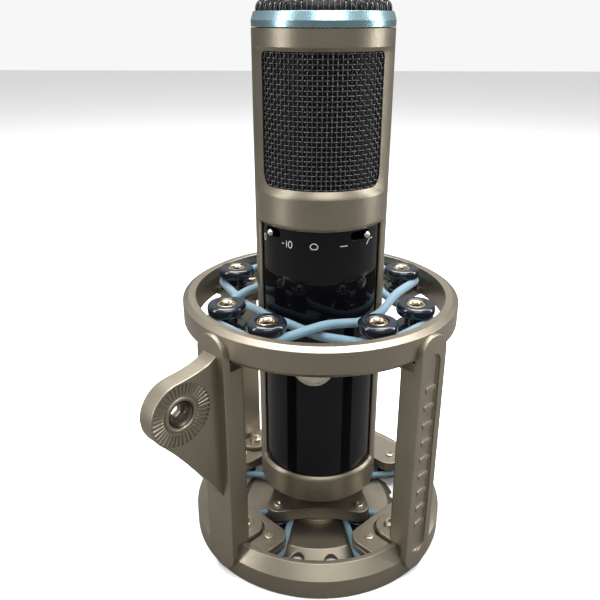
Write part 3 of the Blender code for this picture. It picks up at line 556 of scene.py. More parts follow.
def fine_mesh_finish(name, pitch, dark, light):
    """Very fine black mesh cloth: flecks of thread and hole from fine noise of the place, at about the mesh's
    pitch.
    """
    material = bpy.data.materials.new(name)
    material.use_nodes = True
    nodes, links = material.node_tree.nodes, material.node_tree.links
    shader = nodes["Principled BSDF"]
    shader.inputs["Metallic"].default_value = 0.5
    shader.inputs["Roughness"].default_value = 0.55
    variation = add_variation(nodes, links, 120, 1 / pitch)
    threads = mixed(nodes, links, variation.outputs["Grain"], dark, light)
    links.new(mixed(nodes, links, variation.outputs["Patches"], threads, dark), shader.inputs["Base Color"])
    bump = nodes.new("ShaderNodeBump")
    bump.inputs["Distance"].default_value = 0.0001
    links.new(variation.outputs["Grain"], bump.inputs["Height"])
    links.new(bump.outputs["Normal"], shader.inputs["Normal"])
    return material


FINE_MESH = fine_mesh_finish("fine_lining_mesh", 0.5 * MM, (0.004, 0.004, 0.005), (0.014, 0.014, 0.015))
piece("dome_lining", [polar_shell(lining, on_axis(trim_high.z))], FINE_MESH, "microphone")

# ------------------------------------------------------------------ the blue trim ring
# A turned aluminium ring, anodised pale blue, that holds the dome down on the housing: a
# straight side, a broad chamfer and a thin lip.
TRIM_STRAIGHT = 2.3 * MM
LIP_OUTER = HOUSING_RADIUS - 1.0 * MM
LIP_INNER = LIP_OUTER - 0.4 * MM
BLUE = finish("pale_blue_anodised", ((0.27, 0.43, 0.50), (0.33, 0.50, 0.57)), 0.27, 0.92,
              patch=70, grain=3000, relief=0.00001, flake=0.1)
trim_height = trim_high.z - trim_low.z
trim = softened([
    (HOUSING_RADIUS - 0.1 * MM, 0, 0.2 * MM), (HOUSING_RADIUS, TRIM_STRAIGHT, 0.12 * MM),
    (LIP_OUTER, trim_height, 0.15 * MM), (LIP_INNER, trim_height, 0.1 * MM), (LIP_INNER, 0, 0.0)])
piece("trim_hoop", [polar_shell(trim, on_axis(trim_low.z), samples=144)], BLUE, "microphone",
      ["trim_ring"])

# ------------------------------------------------------------------ the black barrel
# A tube lacquered piano black inside the housing, with two round-ended slots for the switches
# and small printed signs beside them.
BLACK = finish("piano_black_lacquer", ((0.002, 0.002, 0.003), (0.004, 0.004, 0.005)), 0.05, 0.0,
               patch=25, grain=500)
BLACK.node_tree.nodes["Principled BSDF"].inputs["IOR"].default_value = 1.3
barrel_low, barrel_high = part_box("barrel")
BARREL_RADIUS = (barrel_high.x - barrel_low.x) / 2
barrel_walls = (BARREL_RADIUS, BARREL_RADIUS - 1.5 * MM)
SWITCH_HEIGHT = 150.6 * MM
SLOT_HALF = 1.7 * MM
SLOT_BAND = (SWITCH_HEIGHT - 3.4 * MM, SWITCH_HEIGHT + 3.4 * MM)
SLOTS = {"pad_switch": (-58.5, -39.0), "low_cut_switch": (27.5, 48.5)}
grids = [grid for low, high, up in ((barrel_low.z, SLOT_BAND[0], 40), (SLOT_BAND[1], barrel_high.z, 2))
         for span in (FRONT, BACK) for grid in plain_panels(*span, low, high, barrel_walls, up)]
grids += plain_panels(*BACK, *SLOT_BAND, barrel_walls, 12)
for (start, end), (first, last) in zip(SLOTS.values(), ((-HALF, 0.0), (0.0, HALF))):
    slot = (math.radians(start), math.radians(end), SWITCH_HEIGHT - SLOT_HALF, SWITCH_HEIGHT + SLOT_HALF)
    grow = 0.15 * MM / BARREL_RADIUS
    edge = (slot[0] - grow, slot[1] + grow, slot[2] - 0.15 * MM, slot[3] + 0.15 * MM)
    rounding = SLOT_HALF * 0.98
    grids.append(windowed_panel((first, last, *SLOT_BAND), edge, slot, (rounding, rounding), barrel_walls, 12,
                                bevel=0.15 * MM))
for rim in (barrel_low.z, barrel_high.z):
    grids.append(hoop([(barrel_walls[0], rim), (barrel_walls[1], rim)]))
piece("lacquered_barrel", grids, BLACK, "microphone", ["barrel"])

SIGN_HEIGHT = 147.1 * MM
SIGN_LINE = 0.34 * MM
SIGN_SCALE = 1.3
PRINT = finish("pale_print", ((0.55, 0.55, 0.55), (0.68, 0.68, 0.68)), 0.5, patch=900, grain=4000)


def printed_line(azimuth, path, closed=False):
    """A thin raised line of print on the barrel: a flat ribbon along a path of across, up."""
    path = np.array(path, float) * MM * SIGN_SCALE
    if closed:
        tangent = unit(np.roll(path, -1, axis=0) - np.roll(path, 1, axis=0))
    else:
        tangent = unit(np.gradient(path, axis=0))
    square = np.stack([-tangent[:, 1], tangent[:, 0]], axis=-1) * SIGN_LINE / 2
    left, right = path + square, path - square
    film = (BARREL_RADIUS - 0.02 * MM, BARREL_RADIUS + 0.02 * MM)
    turn = math.radians(azimuth)
    rows = [on_cylinder(turn + side[:, 0] / BARREL_RADIUS, SIGN_HEIGHT + side[:, 1], radius)
            for side, radius in ((left, film[0]), (right, film[0]), (right, film[1]), (left, film[1]))]
    ribbon = np.stack(rows, axis=1)
    if not closed:
        ends = [np.repeat(ribbon[k].mean(axis=0)[None, None], 4, axis=1) for k in (0, -1)]
        ribbon = np.concatenate([ends[0], ribbon, ends[1]])
    return ribbon, closed, True


def oval(middle, half_width, half_height, steps=28):
    angle = TURN * np.arange(steps) / steps
    return np.stack([middle + half_width * np.cos(angle), half_height * np.sin(angle)], axis=-1)


angle = TURN * np.arange(40) / 40
reach = 0.80 * (1 + np.cos(angle))
heart = np.stack([reach * np.sin(angle) * 1.1, reach * np.cos(angle) - 0.6], axis=-1)
signs = [
    printed_line(-62.0, oval(0, 0.65, 1.05), closed=True),
    printed_line(-30.5, [(-2.1, 0), (-1.7, 0), (-1.3, 0)]),
    printed_line(-30.5, [(-0.4, -1.05), (-0.4, 0), (-0.4, 1.05)]),
    printed_line(-30.5, oval(0.9, 0.62, 1.05), closed=True),
    printed_line(-5.7, heart, closed=True),
    printed_line(21.0, [(-1.2, 0), (0, 0), (1.2, 0)]),
    printed_line(50.0, [(-1.4, -0.8), (-0.8, 0.2), (-0.3, 0.75), (0.4, 0.85), (1.3, 0.85)]),
]
piece("printed_signs", signs, PRINT, "microphone", smooth=60, level=False)

# ------------------------------------------------------------------ the slide switches
# Two small polished steel ball nubs on stems, which slide in the barrel's slots.
CHROME = finish("polished_steel", ((0.62, 0.62, 0.63), (0.72, 0.72, 0.73)), 0.10, 1.0, patch=400, grain=3000)
BALL = 1.5 * MM
SWITCHES = {"pad_switch": (-48.8, "pad_slider"), "low_cut_switch": (43.4, "low_cut_slider")}
for name, (degrees, body) in SWITCHES.items():
    turn = math.radians(degrees)
    stem = 0.6 * BALL
    start, ball_centre = BARREL_RADIUS - 1.2 * MM, BARREL_RADIUS + BALL / 2
    profile = [(0.0, start), (stem, start)]
    for angle in np.linspace(math.pi - math.asin(stem / BALL), 0, 14):
        profile.append((BALL * math.sin(angle), ball_centre + BALL * math.cos(angle)))
    outward = (math.sin(turn), -math.cos(turn), 0)
    piece(f"{name}_nub", [polar_shell(profile, on_axis(SWITCH_HEIGHT), outward, 28)], CHROME, body,
          [name])

# ------------------------------------------------------------------ the badge
# A plain round plate bent to the barrel, in satin metal, with a rolled rim and a shallow dish.
BADGE_RADIUS = 9.4 * MM
badge_low, badge_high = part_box("badge")
BADGE_HEIGHT = (badge_low.z + badge_high.z) / 2
BADGE_AZIMUTH = math.radians(-6)
PALE_METAL = finish("brushed_pale_metal", ((0.50, 0.47, 0.40), (0.60, 0.56, 0.48)), 0.28, 1.0, patch=120,
                    grain=2600,
                    relief=0.00001)
size = np.array([0.0, 0.35, 0.6, 0.78, 0.84, 0.88, 0.92, 0.96, 1.0, 1.0, 0.6, 0.0])[:, None] * BADGE_RADIUS
lift = np.array([0.26, 0.26, 0.28, 0.30, 0.34, 0.48, 0.58, 0.52, 0.36, 0.0, 0.0, 0.0])[:, None] * MM
angle = TURN * np.arange(72)[None, :] / 72
across, up = size * np.cos(angle), size * np.sin(angle)
badge = on_cylinder(BADGE_AZIMUTH + across / BARREL_RADIUS, BADGE_HEIGHT + up, BARREL_RADIUS + lift)
piece("round_badge", [(badge, False, True)], PALE_METAL, "microphone", ["badge"])

# ------------------------------------------------------------------ the threaded base
# A turned brass end piece: a flange that closes the housing, a collar that stands on the cradle
# and a neck with a coarse screw thread, hollow for the three-pin socket.
FLANGE_RADIUS = BARREL_RADIUS
COLLAR_RADIUS = 17.0 * MM
NECK_RADIUS = 14.5 * MM
SOCKET_RADIUS = 8.6 * MM
THREAD_PITCH = 1.5 * MM
THREAD_DEPTH = 0.5 * MM
THREAD_STEPS = 24
base_low, base_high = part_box("threaded_base")
cradle_low, cradle_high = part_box("cradle_plate")
shoulder = cradle_high.z + 0.3 * MM
samples = 96
angle = np.arange(samples) / samples
thread = []
for height in np.linspace(base_low.z + MM, shoulder - MM, THREAD_STEPS * 9):
    wave = np.abs(((height / THREAD_PITCH - angle) % 1) - 0.5) * 2
    thread.append((NECK_RADIUS - THREAD_DEPTH * wave, height))
flange_bottom = housing_foot + 0.5 * MM
rows = [(0.0, base_high.z), (FLANGE_RADIUS, base_high.z), (FLANGE_RADIUS, flange_bottom),
        (COLLAR_RADIUS, flange_bottom), (COLLAR_RADIUS, shoulder + 0.4 * MM),
        (COLLAR_RADIUS - 0.4 * MM, shoulder),
        (NECK_RADIUS - THREAD_DEPTH, shoulder), *reversed(thread), (NECK_RADIUS - THREAD_DEPTH, base_low.z),
        (SOCKET_RADIUS, base_low.z), (SOCKET_RADIUS, 22 * MM), (0.0, 22 * MM)]
piece("threaded_end_piece", [polar_shell(rows, on_axis(), samples=samples, closed=False)], BRONZE,
      "microphone",
      ["threaded_base"])

INSULATOR = finish("black_moulding", ((0.012, 0.012, 0.013), (0.022, 0.022, 0.024)), 0.45, patch=200,
                   grain=1800,
                   relief=0.00002)
GOLD = finish("gold_plating", ((0.80, 0.58, 0.25), (0.88, 0.66, 0.32)), 0.18, 1.0, patch=200, grain=3000)
insert_low, insert_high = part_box("connector_insert")
insert_radius = (insert_high.x - insert_low.x) / 2
disc = softened([(0, insert_low.z, 0), (0, insert_high.z, 0), (insert_radius, insert_high.z, 0.2 * MM),
                 (insert_radius, insert_low.z, 0.4 * MM)])
piece("socket_insert", [polar_shell(disc, on_axis())], INSULATOR, "microphone",
      ["connector_insert"])
for number in (1, 2, 3):
    low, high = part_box(f"connector_pin_{number}")
    azimuth = math.radians(120) * (number - 1)
    centre = on_cylinder(azimuth, 0.0, 4.05 * MM)
    pin = softened([(0, low.z, 0), (0, high.z, 0), (1.2 * MM, high.z, 0), (1.2 * MM, low.z, 0.9 * MM)], 6)
    piece(f"socket_pin_{number}", [polar_shell(pin, centre, samples=32)], GOLD, "microphone",
          [f"connector_pin_{number}"])

# ------------------------------------------------------------------ the ring at the foot
# A heavy cast and turned ring with four lobes inside it, all in the same satin bronze.  Its top
# is a broad bevel; three lobes have a round-ended pocket for the foot of a post.
MOUNT_CLOCK = math.radians(1.5)
RING_RADIUS = 60.0 * MM
LOBE_INNER = 35.5 * MM
LOBE_HALF = 18.0 * MM
LOBE_CORNER = 6.0 * MM
LOWER_BORE = 53.2 * MM
POSTS = {"front_left": -45, "front_right": 45, "back_left": -135}
LOBES = {**POSTS, "back_right": 135}
lower_ring_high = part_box("lower_ring")[1]
TONGUE_TIP = 39.6 * MM
BAR_HALF = 7.4 * MM
POCKET_FLOOR = 12.0 * MM
POCKET_GAP = 0.8 * MM
LOBE_UNDERSIDE = 9.9 * MM


def lobe_turn(degrees):
    return math.radians(degrees) + MOUNT_CLOCK


def on_spoke(points, azimuth):
    """Moves points of out, across and up on a spoke to their place in the room."""
    out, across, up = points[..., 0], points[..., 1], points[..., 2]
    x = AXIS[0] + out * math.sin(azimuth) + across * math.cos(azimuth)
    y = AXIS[1] - out * math.cos(azimuth) + across * math.sin(azimuth)
    return np.stack([x, y, up], axis=-1)


def arc(centre, radius, start, end, steps):
    """Points on an arc; its angles are in degrees."""
    angle = np.radians(np.linspace(start, end, steps + 1))
    return np.stack([centre[0] + radius * np.cos(angle), centre[1] + radius * np.sin(angle)], axis=-1)


def drawn_in(outline, amount):
    """A closed anticlockwise outline moved in by amount, square to its sides."""
    ahead = unit(np.roll(outline, -1, axis=0) - outline)
    behind = np.roll(ahead, 1, axis=0)
    first, second = (np.stack([-side[:, 1], side[:, 0]], axis=-1) for side in (ahead, behind))
    cosine = np.maximum((first * second).sum(axis=1, keepdims=True), -0.4)
    return outline + amount * (first + second) / (1 + cosine)


def plate(outline, low, high, edge, azimuth, steps=3):
    """A flat plate on a spoke: its outline carried up, drawn in along quarter circles at the ends."""
    outline = np.array(outline)
    apart = np.linalg.norm(np.roll(outline, -1, axis=0) - outline, axis=1) > 1e-6
    outline = outline[apart]
    turn = np.linspace(0, HALF, steps + 1)
    inset, rise = edge * (1 - np.sin(turn)), edge * (1 - np.cos(turn))
    levels = list(zip(inset, low + rise)) + list(zip(inset[::-1], high - rise[::-1]))
    loops = []
    for amount, height in levels:
        loop = drawn_in(outline, amount)
        loops.append(np.column_stack([loop, np.full(len(loop), height)]))
    loops = on_spoke(np.stack(loops), azimuth)
    return (loops, False, True), (loops[0], loops[-1])


def lobe_outline(far, pocket=False):
    """A lobe in plan, anticlockwise: square outside, two round inner corners, a pocket if any."""
    edge = math.degrees(math.asin(LOBE_HALF / far))
    near = LOBE_INNER + LOBE_CORNER
    left = arc((near, LOBE_HALF - LOBE_CORNER), LOBE_CORNER, 90, 180, 8)
    right = arc((near, LOBE_CORNER - LOBE_HALF), LOBE_CORNER, 180, 270, 8)
    if not pocket:
        return np.concatenate([left, right, arc((0, 0), far, -edge, edge, 12)])
    half = BAR_HALF + POCKET_GAP
    mouth = math.degrees(math.asin(half / far))
    end = arc((TONGUE_TIP + BAR_HALF, 0), half, 270, 90, 20)
    return np.concatenate([left, right, arc((0, 0), far, -edge, -mouth, 5), end,
                           arc((0, 0), far, mouth, edge, 5)])


ring = softened([
    (RING_RADIUS, 0, 0.4 * MM), (RING_RADIUS, 9.35 * MM, 0.45 * MM),
                 (55.5 * MM, lower_ring_high.z, 0.45 * MM),
    (LOWER_BORE, lower_ring_high.z, 0.5 * MM), (LOWER_BORE, 0, 0.4 * MM)])
grids, caps = [polar_shell(ring, on_axis(), samples=192)], []
lobe_top = lower_ring_high.z - 0.2 * MM
for label, degrees in LOBES.items():
    parts = [(lobe_outline(54.4 * MM), LOBE_UNDERSIDE, POCKET_FLOOR if label in POSTS else lobe_top)]
    if label in POSTS:
        parts.append((lobe_outline(54.4 * MM, True), POCKET_FLOOR - 0.01 * MM, lobe_top))
    for outline, low, high in parts:
        grid, ends = plate(outline, low, high, 0.35 * MM, lobe_turn(degrees))
        grids.append(grid)
        caps.extend(ends)
piece("foot_ring", grids, BRONZE, "cage", ["lower_ring"], caps)

# ------------------------------------------------------------------ the ring at the top
# The same kind of ring with a flat rim, a chamfer outside and a short skirt below, and four
# lobes that carry the rubber spools.
UPPER_BORE = 54.3 * MM
UPPER_FLAT = 57.5 * MM
UPPER_UNDERSIDE = 109.5 * MM
LOBE_THICKNESS = 3.6 * MM
upper_low, upper_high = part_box("upper_ring")
skirt = upper_low.z + 0.2 * MM
ring = softened([
    (RING_RADIUS, UPPER_UNDERSIDE, 0.3 * MM), (RING_RADIUS, upper_high.z - 1.5 * MM, 0.35 * MM),
    (UPPER_FLAT, upper_high.z, 0.45 * MM), (UPPER_BORE, upper_high.z, 0.5 * MM),
                 (UPPER_BORE, skirt, 0.3 * MM),
    (RING_RADIUS - 2.3 * MM, skirt, 0.3 * MM)])
grids, caps = [polar_shell(ring, on_axis(), samples=192)], []
for degrees in LOBES.values():
    grid, ends = plate(lobe_outline(55.5 * MM), upper_low.z, upper_low.z + LOBE_THICKNESS, 0.4 * MM,
                       lobe_turn(degrees))
    grids.append(grid)
    caps.extend(ends)
piece("head_ring", grids, BRONZE, "cage", ["upper_ring"], caps)

# ------------------------------------------------------------------ the three posts
# Cast posts between the rings: a long pad with round ends lies in the rings' outer wall, a
# thicker bar stands behind it, and a tongue at the foot and one at the head take a screw each.
# The front right post has a shallow channel with a row of plain cross ribs.
PAD_OUTER = 61.8 * MM
PAD_INNER = 58.6 * MM
PAD_HALF = 8.35 * MM
PAD_EDGE = 0.6 * MM
BAR_INNER = 51.0 * MM
TONGUE_THICKNESS = 4.5 * MM
CHANNEL = (4.5 * MM, 11.5 * MM, 109.5 * MM)
CHANNEL_FLOOR = PAD_OUTER - 1.2 * MM
RIBS = 9


def stadium(half, low, high, steps=20):
    """An upright outline with round ends, as across and up."""
    return np.concatenate([arc((0, low + half), half, 180, 360, steps),
                           arc((0, high - half), half, 0, 180, steps)])


def pad(low, high, channel, azimuth):
    """The pad: loops from the middle of its back, round its edge, and in to the face's middle."""
    turn = np.linspace(0, HALF, 5)
    rows = [(PAD_INNER, PAD_HALF), (PAD_INNER, 0.0)]
    rows += [(PAD_OUTER - PAD_EDGE * (1 - math.sin(a)), PAD_EDGE * (1 - math.cos(a))) for a in turn]
    loops = [(out, stadium(PAD_HALF - inset, low + inset, high - inset)) for out, inset in rows]
    if channel:
        half, bottom, top = channel
        for out, grow in ((PAD_OUTER, 0.3), (PAD_OUTER - 0.1 * MM, 0.08), (PAD_OUTER - 0.3 * MM, 0.0),
                          (CHANNEL_FLOOR + 0.3 * MM, 0.0), (CHANNEL_FLOOR, -0.3)):
            grow *= MM
            loops.append((out, stadium(half + grow, bottom - grow, top + grow)))
        loops.append((CHANNEL_FLOOR, stadium(0.0, bottom + half, top - half)))
    else:
        loops.append((PAD_OUTER, stadium(0.0, low + PAD_HALF, high - PAD_HALF)))
    points = np.stack([np.column_stack([np.full(len(loop), out), loop]) for out, loop in loops])
    return on_spoke(points, azimuth), False, True


def tongue(azimuth, low):
    """A post's tongue, with a round inner end."""
    end = arc((TONGUE_TIP + BAR_HALF, 0), BAR_HALF, 90, 270, 20)
    outline = np.concatenate([end, [(PAD_INNER, -BAR_HALF), (PAD_INNER, BAR_HALF)]])
    return plate(outline, low, low + TONGUE_THICKNESS, 0.45 * MM, azimuth)


def rib(azimuth, height):
    """A low pill-shaped bar that lies across the channel, from its foot to its crest."""
    half, reach, proud = 1.3 * MM, 3.3 * MM, 0.8 * MM
    rows = [(-0.1 * MM, 0.0), (proud - 0.3 * MM, 0.0), (proud - 0.1 * MM, 0.1 * MM), (proud, 0.35 * MM),
            (proud, half)]
    loops = []
    for rise, inset in rows:
        flat = stadium(half - inset, inset - reach, reach - inset, 10)
        loops.append(np.column_stack([np.full(len(flat), CHANNEL_FLOOR + rise), flat[:, 1],
                                      height - flat[:, 0]]))
    loops.insert(0, loops[0] * (1, 0, 0) + (0, 0, height))
    return on_spoke(np.stack(loops), azimuth), False, True


LUG_CENTRE = (78.9 * MM, 91.2 * MM)
LUG_HALF = 4.0 * MM
LUG_END = 13.8 * MM
LUG_BORE = 5.5 * MM
ROSETTE_RADIUS = 13.1 * MM
RECESS_FLOOR = LUG_HALF - 0.8 * MM
LUG_SAMPLES = 320


def swept(start, start_slope, end, end_slope, steps=16):
    """Points between two points on the cubic curve that has the given slopes at its ends."""
    t = np.linspace(0, 1, steps + 2)[1:-1, None]
    p0, p1, m0, m1 = (np.array(v) for v in (start, end, start_slope, end_slope))
    return ((2 * t ** 3 - 3 * t ** 2 + 1) * p0 + (3 * t ** 2 - 2 * t ** 3) * p1
            + (t ** 3 - 2 * t ** 2 + t) * m0 + (t ** 3 - t ** 2) * m1)


def lug_reach():
    """Distance from the bore's centre to the lug's outline, for even steps of angle."""
    root = (PAD_INNER + PAD_OUTER) / 2
    end = arc(LUG_CENTRE, LUG_END, -44, 84, 30)
    top, bottom = (root, 112 * MM), (root, 40 * MM)
    upper = swept(end[-1], (-0.022, 0.002), top, (-0.008, 0.016))
    lower = swept(bottom, (0.008, 0.022), end[0], (0.022, 0.022))
    inner_side = np.column_stack([np.full(40, root), np.linspace(top[1], bottom[1], 40)])
    outline = np.concatenate([lower, end, upper, inner_side]) - LUG_CENTRE
    angle = np.arctan2(outline[:, 1], outline[:, 0])
    order = np.argsort(angle)
    steps = TURN * np.arange(LUG_SAMPLES) / LUG_SAMPLES
    return np.interp(steps, angle[order], np.linalg.norm(outline, axis=1)[order], period=TURN)


def about_lug(rows, azimuth):
    """Loops about the lug's bore: each row is (radius, place across the lug)."""
    angle = TURN * np.arange(LUG_SAMPLES) / LUG_SAMPLES
    loops = []
    for radius, across in rows:
        radius, across = radius * np.ones(LUG_SAMPLES), across * np.ones(LUG_SAMPLES)
        loops.append(np.stack([LUG_CENTRE[0] + radius * np.cos(angle), across,
                               LUG_CENTRE[1] + radius * np.sin(angle)], axis=-1))
    return on_spoke(np.stack(loops), azimuth), True, True


edge = 0.5 * MM
reach = lug_reach()
lug_rows = [(LUG_BORE, -LUG_HALF), (reach - edge, -LUG_HALF), (reach - 0.3 * edge, 0.3 * edge - LUG_HALF),
            (reach, edge - LUG_HALF), (reach, LUG_HALF - edge), (reach - 0.3 * edge, LUG_HALF - 0.3 * edge),
            (np.maximum(reach - edge, ROSETTE_RADIUS + 0.1 * MM), LUG_HALF),
            (ROSETTE_RADIUS, LUG_HALF - 0.05 * MM),
            (ROSETTE_RADIUS, RECESS_FLOOR), (LUG_BORE, RECESS_FLOOR)]
bar_outline = softened([(PAD_INNER + MM, -BAR_HALF, 0), (PAD_INNER + MM, BAR_HALF, 0),
                        (BAR_INNER, BAR_HALF, 1.3 * MM),
                        (BAR_INNER, -BAR_HALF, 1.3 * MM)])
post_low, post_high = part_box("post_front_left")
head_top = upper_low.z - 0.3 * MM
foot_low = POCKET_FLOOR + 0.3 * MM
for label, degrees in POSTS.items():
    azimuth = lobe_turn(degrees)
    grids, caps = [pad(post_low.z, post_high.z, CHANNEL if label == "front_right" else None, azimuth)], []
    for grid, ends in (plate(bar_outline, foot_low, head_top, 0.3 * MM, azimuth), tongue(azimuth, foot_low),
                       tongue(azimuth, head_top - TONGUE_THICKNESS)):
        grids.append(grid)
        caps.extend(ends)
    if label == "front_right":
        grids += [rib(azimuth, height) for height in np.linspace(27 * MM, 94 * MM, RIBS)]
    if label == "front_left":
        grids.append(about_lug(lug_rows, azimuth))
    piece(f"cast_post_{label}", grids, BRONZE, "cage", [f"post_{label}"], caps)

# The stand joint's face: forty radial teeth round a flat, a rounded rim and a threaded insert
# with a hexagonal hole, where a stand adaptor is clamped.
TEETH = 40
angle = TURN * np.arange(LUG_SAMPLES) / LUG_SAMPLES
tooth = np.abs((angle * TEETH / TURN) % 1 - 0.5) * 2
flat = RECESS_FLOOR + 0.05 * MM
rosette_rows = [(LUG_BORE, RECESS_FLOOR - 0.2 * MM), (13.0 * MM, RECESS_FLOOR - 0.2 * MM)]
ridge = np.clip(2.2 * tooth - 0.6, 0, 1)
rosette_rows += [(r * MM, flat - 0.25 * MM + 0.95 * MM * ridge * (r / 13) ** 0.8)
                 for r in (13.0, 12.2, 11.0, 9.8, 8.8, 8.35)]
rosette_rows += [(8.1 * MM, flat), (7.6 * MM, flat)]
rosette_rows += [(6.6 * MM - 0.95 * MM * math.sin(a), flat + 0.85 * MM * math.cos(a))
                 for a in np.linspace(-HALF, HALF, 11)]
front_left = lobe_turn(POSTS["front_left"])
piece("stand_rosette", [about_lug(rosette_rows, front_left)], BRONZE, "cage", smooth=24)


def hexagon(across_flats, samples, turned=0.0):
    """Distance from the middle of a hexagon to its edge, for even steps of angle."""
    angle = TURN * np.arange(samples) / samples + turned
    return across_flats / 2 / np.cos((angle + math.pi / 6) % (math.pi / 3) - math.pi / 6)


insert_rows = [(5.2 * MM, -RECESS_FLOOR), (5.2 * MM, 3.0 * MM), (5.0 * MM, 3.3 * MM), (4.5 * MM, 2.2 * MM),
               (4.1 * MM, 0.2 * MM), (4.0 * MM, -0.8 * MM),
               (hexagon(4.6 * MM, LUG_SAMPLES) + 0.3 * MM, -0.8 * MM),
               (hexagon(4.6 * MM, LUG_SAMPLES), -1.1 * MM), (hexagon(4.6 * MM, LUG_SAMPLES), -RECESS_FLOOR)]
STEEL = finish("plated_steel", ((0.52, 0.47, 0.38), (0.64, 0.58, 0.48)), 0.25, 1.0, patch=300, grain=2500,
               relief=0.00001)
DULL_STEEL = finish("dull_steel", ((0.20, 0.185, 0.155), (0.27, 0.25, 0.21)), 0.38, 1.0, patch=250,
                    grain=2500)
piece("threaded_insert", [about_lug(insert_rows, front_left)], DULL_STEEL, "cage", ["stand_insert"])

# ------------------------------------------------------------------ the screws
# Plated socket screws: one in each post's foot and head, and one down through each lobe or
# cradle corner into a small spool.  A hexagonal socket is sunk in each head.
SCREW_SAMPLES = 48


def socket_screw(centre, seat, radius, height, socket, round_edge=0.35):
    """A screw's head standing on its seat, with a domed edge and a hexagonal socket."""
    edge = round_edge * height
    top = seat + height
    rows = [(0.0, seat - 0.4 * MM), (radius * 0.5, seat - 0.4 * MM), (radius * 0.5, seat), (radius, seat),
            (radius, top - edge), (radius - 0.3 * edge, top - 0.3 * edge), (radius - edge, top),
            (hexagon(socket, SCREW_SAMPLES) + 0.1 * MM, top),
            (hexagon(socket, SCREW_SAMPLES), top - 0.12 * MM),
            (hexagon(socket, SCREW_SAMPLES), top - 0.6 * height), (0.0, top - 0.62 * height)]
    return polar_shell(rows, (centre[0], centre[1], 0.0), samples=SCREW_SAMPLES, closed=False)


FOOT_SCREW_PLACE = 46.5 * MM
foot_seat = foot_low + TONGUE_THICKNESS
upper_deck = upper_low.z + LOBE_THICKNESS
for label, degrees in POSTS.items():
    spot = on_cylinder(lobe_turn(degrees), 0.0, FOOT_SCREW_PLACE)
    head = socket_screw(spot, foot_seat, 3.2 * MM, 1.8 * MM, 2.8 * MM)
    piece(f"post_foot_screw_{label}", [head], STEEL, "cage", [f"foot_screw_{label}"])
heads = [socket_screw(on_cylinder(lobe_turn(d), 0.0, FOOT_SCREW_PLACE), upper_deck, 3.2 * MM, 1.9 * MM,
                      2.8 * MM)
         for d in POSTS.values()]
piece("post_head_screws", heads, STEEL, "cage")
LOWER_SPOOL_PLACE = 45.0 * MM
LOWER_SPREAD = 15
heads = [socket_screw(on_cylinder(lobe_turn(d + side * LOWER_SPREAD), 0.0, LOWER_SPOOL_PLACE), lobe_top,
                      2.1 * MM,
                      1.0 * MM, 1.8 * MM) for d in LOBES.values() for side in (-1, 1)]
piece("lower_spool_screws", heads, STEEL, "cage")
CORNER_PLACE = 27.0 * MM
heads = [socket_screw(on_cylinder(lobe_turn(d), 0.0, CORNER_PLACE), cradle_high.z, 2.1 * MM, 1.0 * MM,
                      1.8 * MM)
         for d in LOBES.values()]
piece("cradle_corner_screws", heads, STEEL, "cradle")

# ------------------------------------------------------------------ the upper spools
# Eight glossy navy rubber spools stand in pairs on the upper lobes.  Each has a fat doughnut of
# an upper flange, a thin lower one, a brass eyelet and a socket screw down its middle.
RUBBER = finish("glossy_navy_rubber", ((0.005, 0.008, 0.013), (0.009, 0.013, 0.020)), 0.13, 0.0, patch=150,
                grain=1500, coat=0.3, coat_roughness=0.06)
BRASS = finish("brass_eyelet", ((0.66, 0.54, 0.33), (0.76, 0.64, 0.42)), 0.22, 1.0, patch=400, grain=3000)
DARK_STEEL = finish("blackened_steel", ((0.05, 0.048, 0.045), (0.09, 0.086, 0.08)), 0.35, 0.9, patch=400,
                    grain=3000)
UPPER_PLACE = 44.5 * MM
UPPER_SPREAD = 16
SPOOL = 8.0 * MM
spool_profile = softened([
    (0, 0, 0), (7.6 * MM, 0, 0.3 * MM), (SPOOL, 1.7 * MM, 0.6 * MM), (4.2 * MM, 2.2 * MM, 0.5 * MM),
    (4.2 * MM, 5.9 * MM, 0.5 * MM), (SPOOL, 6.1 * MM, 2.9 * MM), (SPOOL, 11.0 * MM, 3.2 * MM),
    (3.9 * MM, 11.0 * MM, 1.3 * MM), (3.3 * MM, 8.9 * MM, 0.3 * MM), (0, 8.9 * MM, 0)], 7)
eyelet_profile = softened([
    (2.5 * MM, 9.0 * MM, 0.2 * MM), (3.6 * MM, 9.0 * MM, 0.2 * MM), (4.0 * MM, 10.6 * MM, 0.5 * MM),
    (3.1 * MM, 10.7 * MM, 0.5 * MM), (2.6 * MM, 9.8 * MM, 0.3 * MM)])
eyelets, sockets = [], []
for label, degrees in LOBES.items():
    for side, sign in (("a", -1), ("b", 1)):
        name = f"upper_bobbin_{label}_{side}"
        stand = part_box(name)[0].z
        spot = on_cylinder(lobe_turn(degrees + sign * UPPER_SPREAD), stand, UPPER_PLACE)
        piece(f"upper_spool_{label}_{side}", [polar_shell(spool_profile, spot, samples=64)], RUBBER, "cage",
              [name])
        eyelets.append(polar_shell(eyelet_profile, spot, samples=48))
        sockets.append(socket_screw(spot, stand + 8.9 * MM, 2.5 * MM, 0.9 * MM, 2.6 * MM))
piece("spool_eyelets", eyelets, BRASS, "cage")
piece("spool_socket_screws", sockets, DARK_STEEL, "cage")

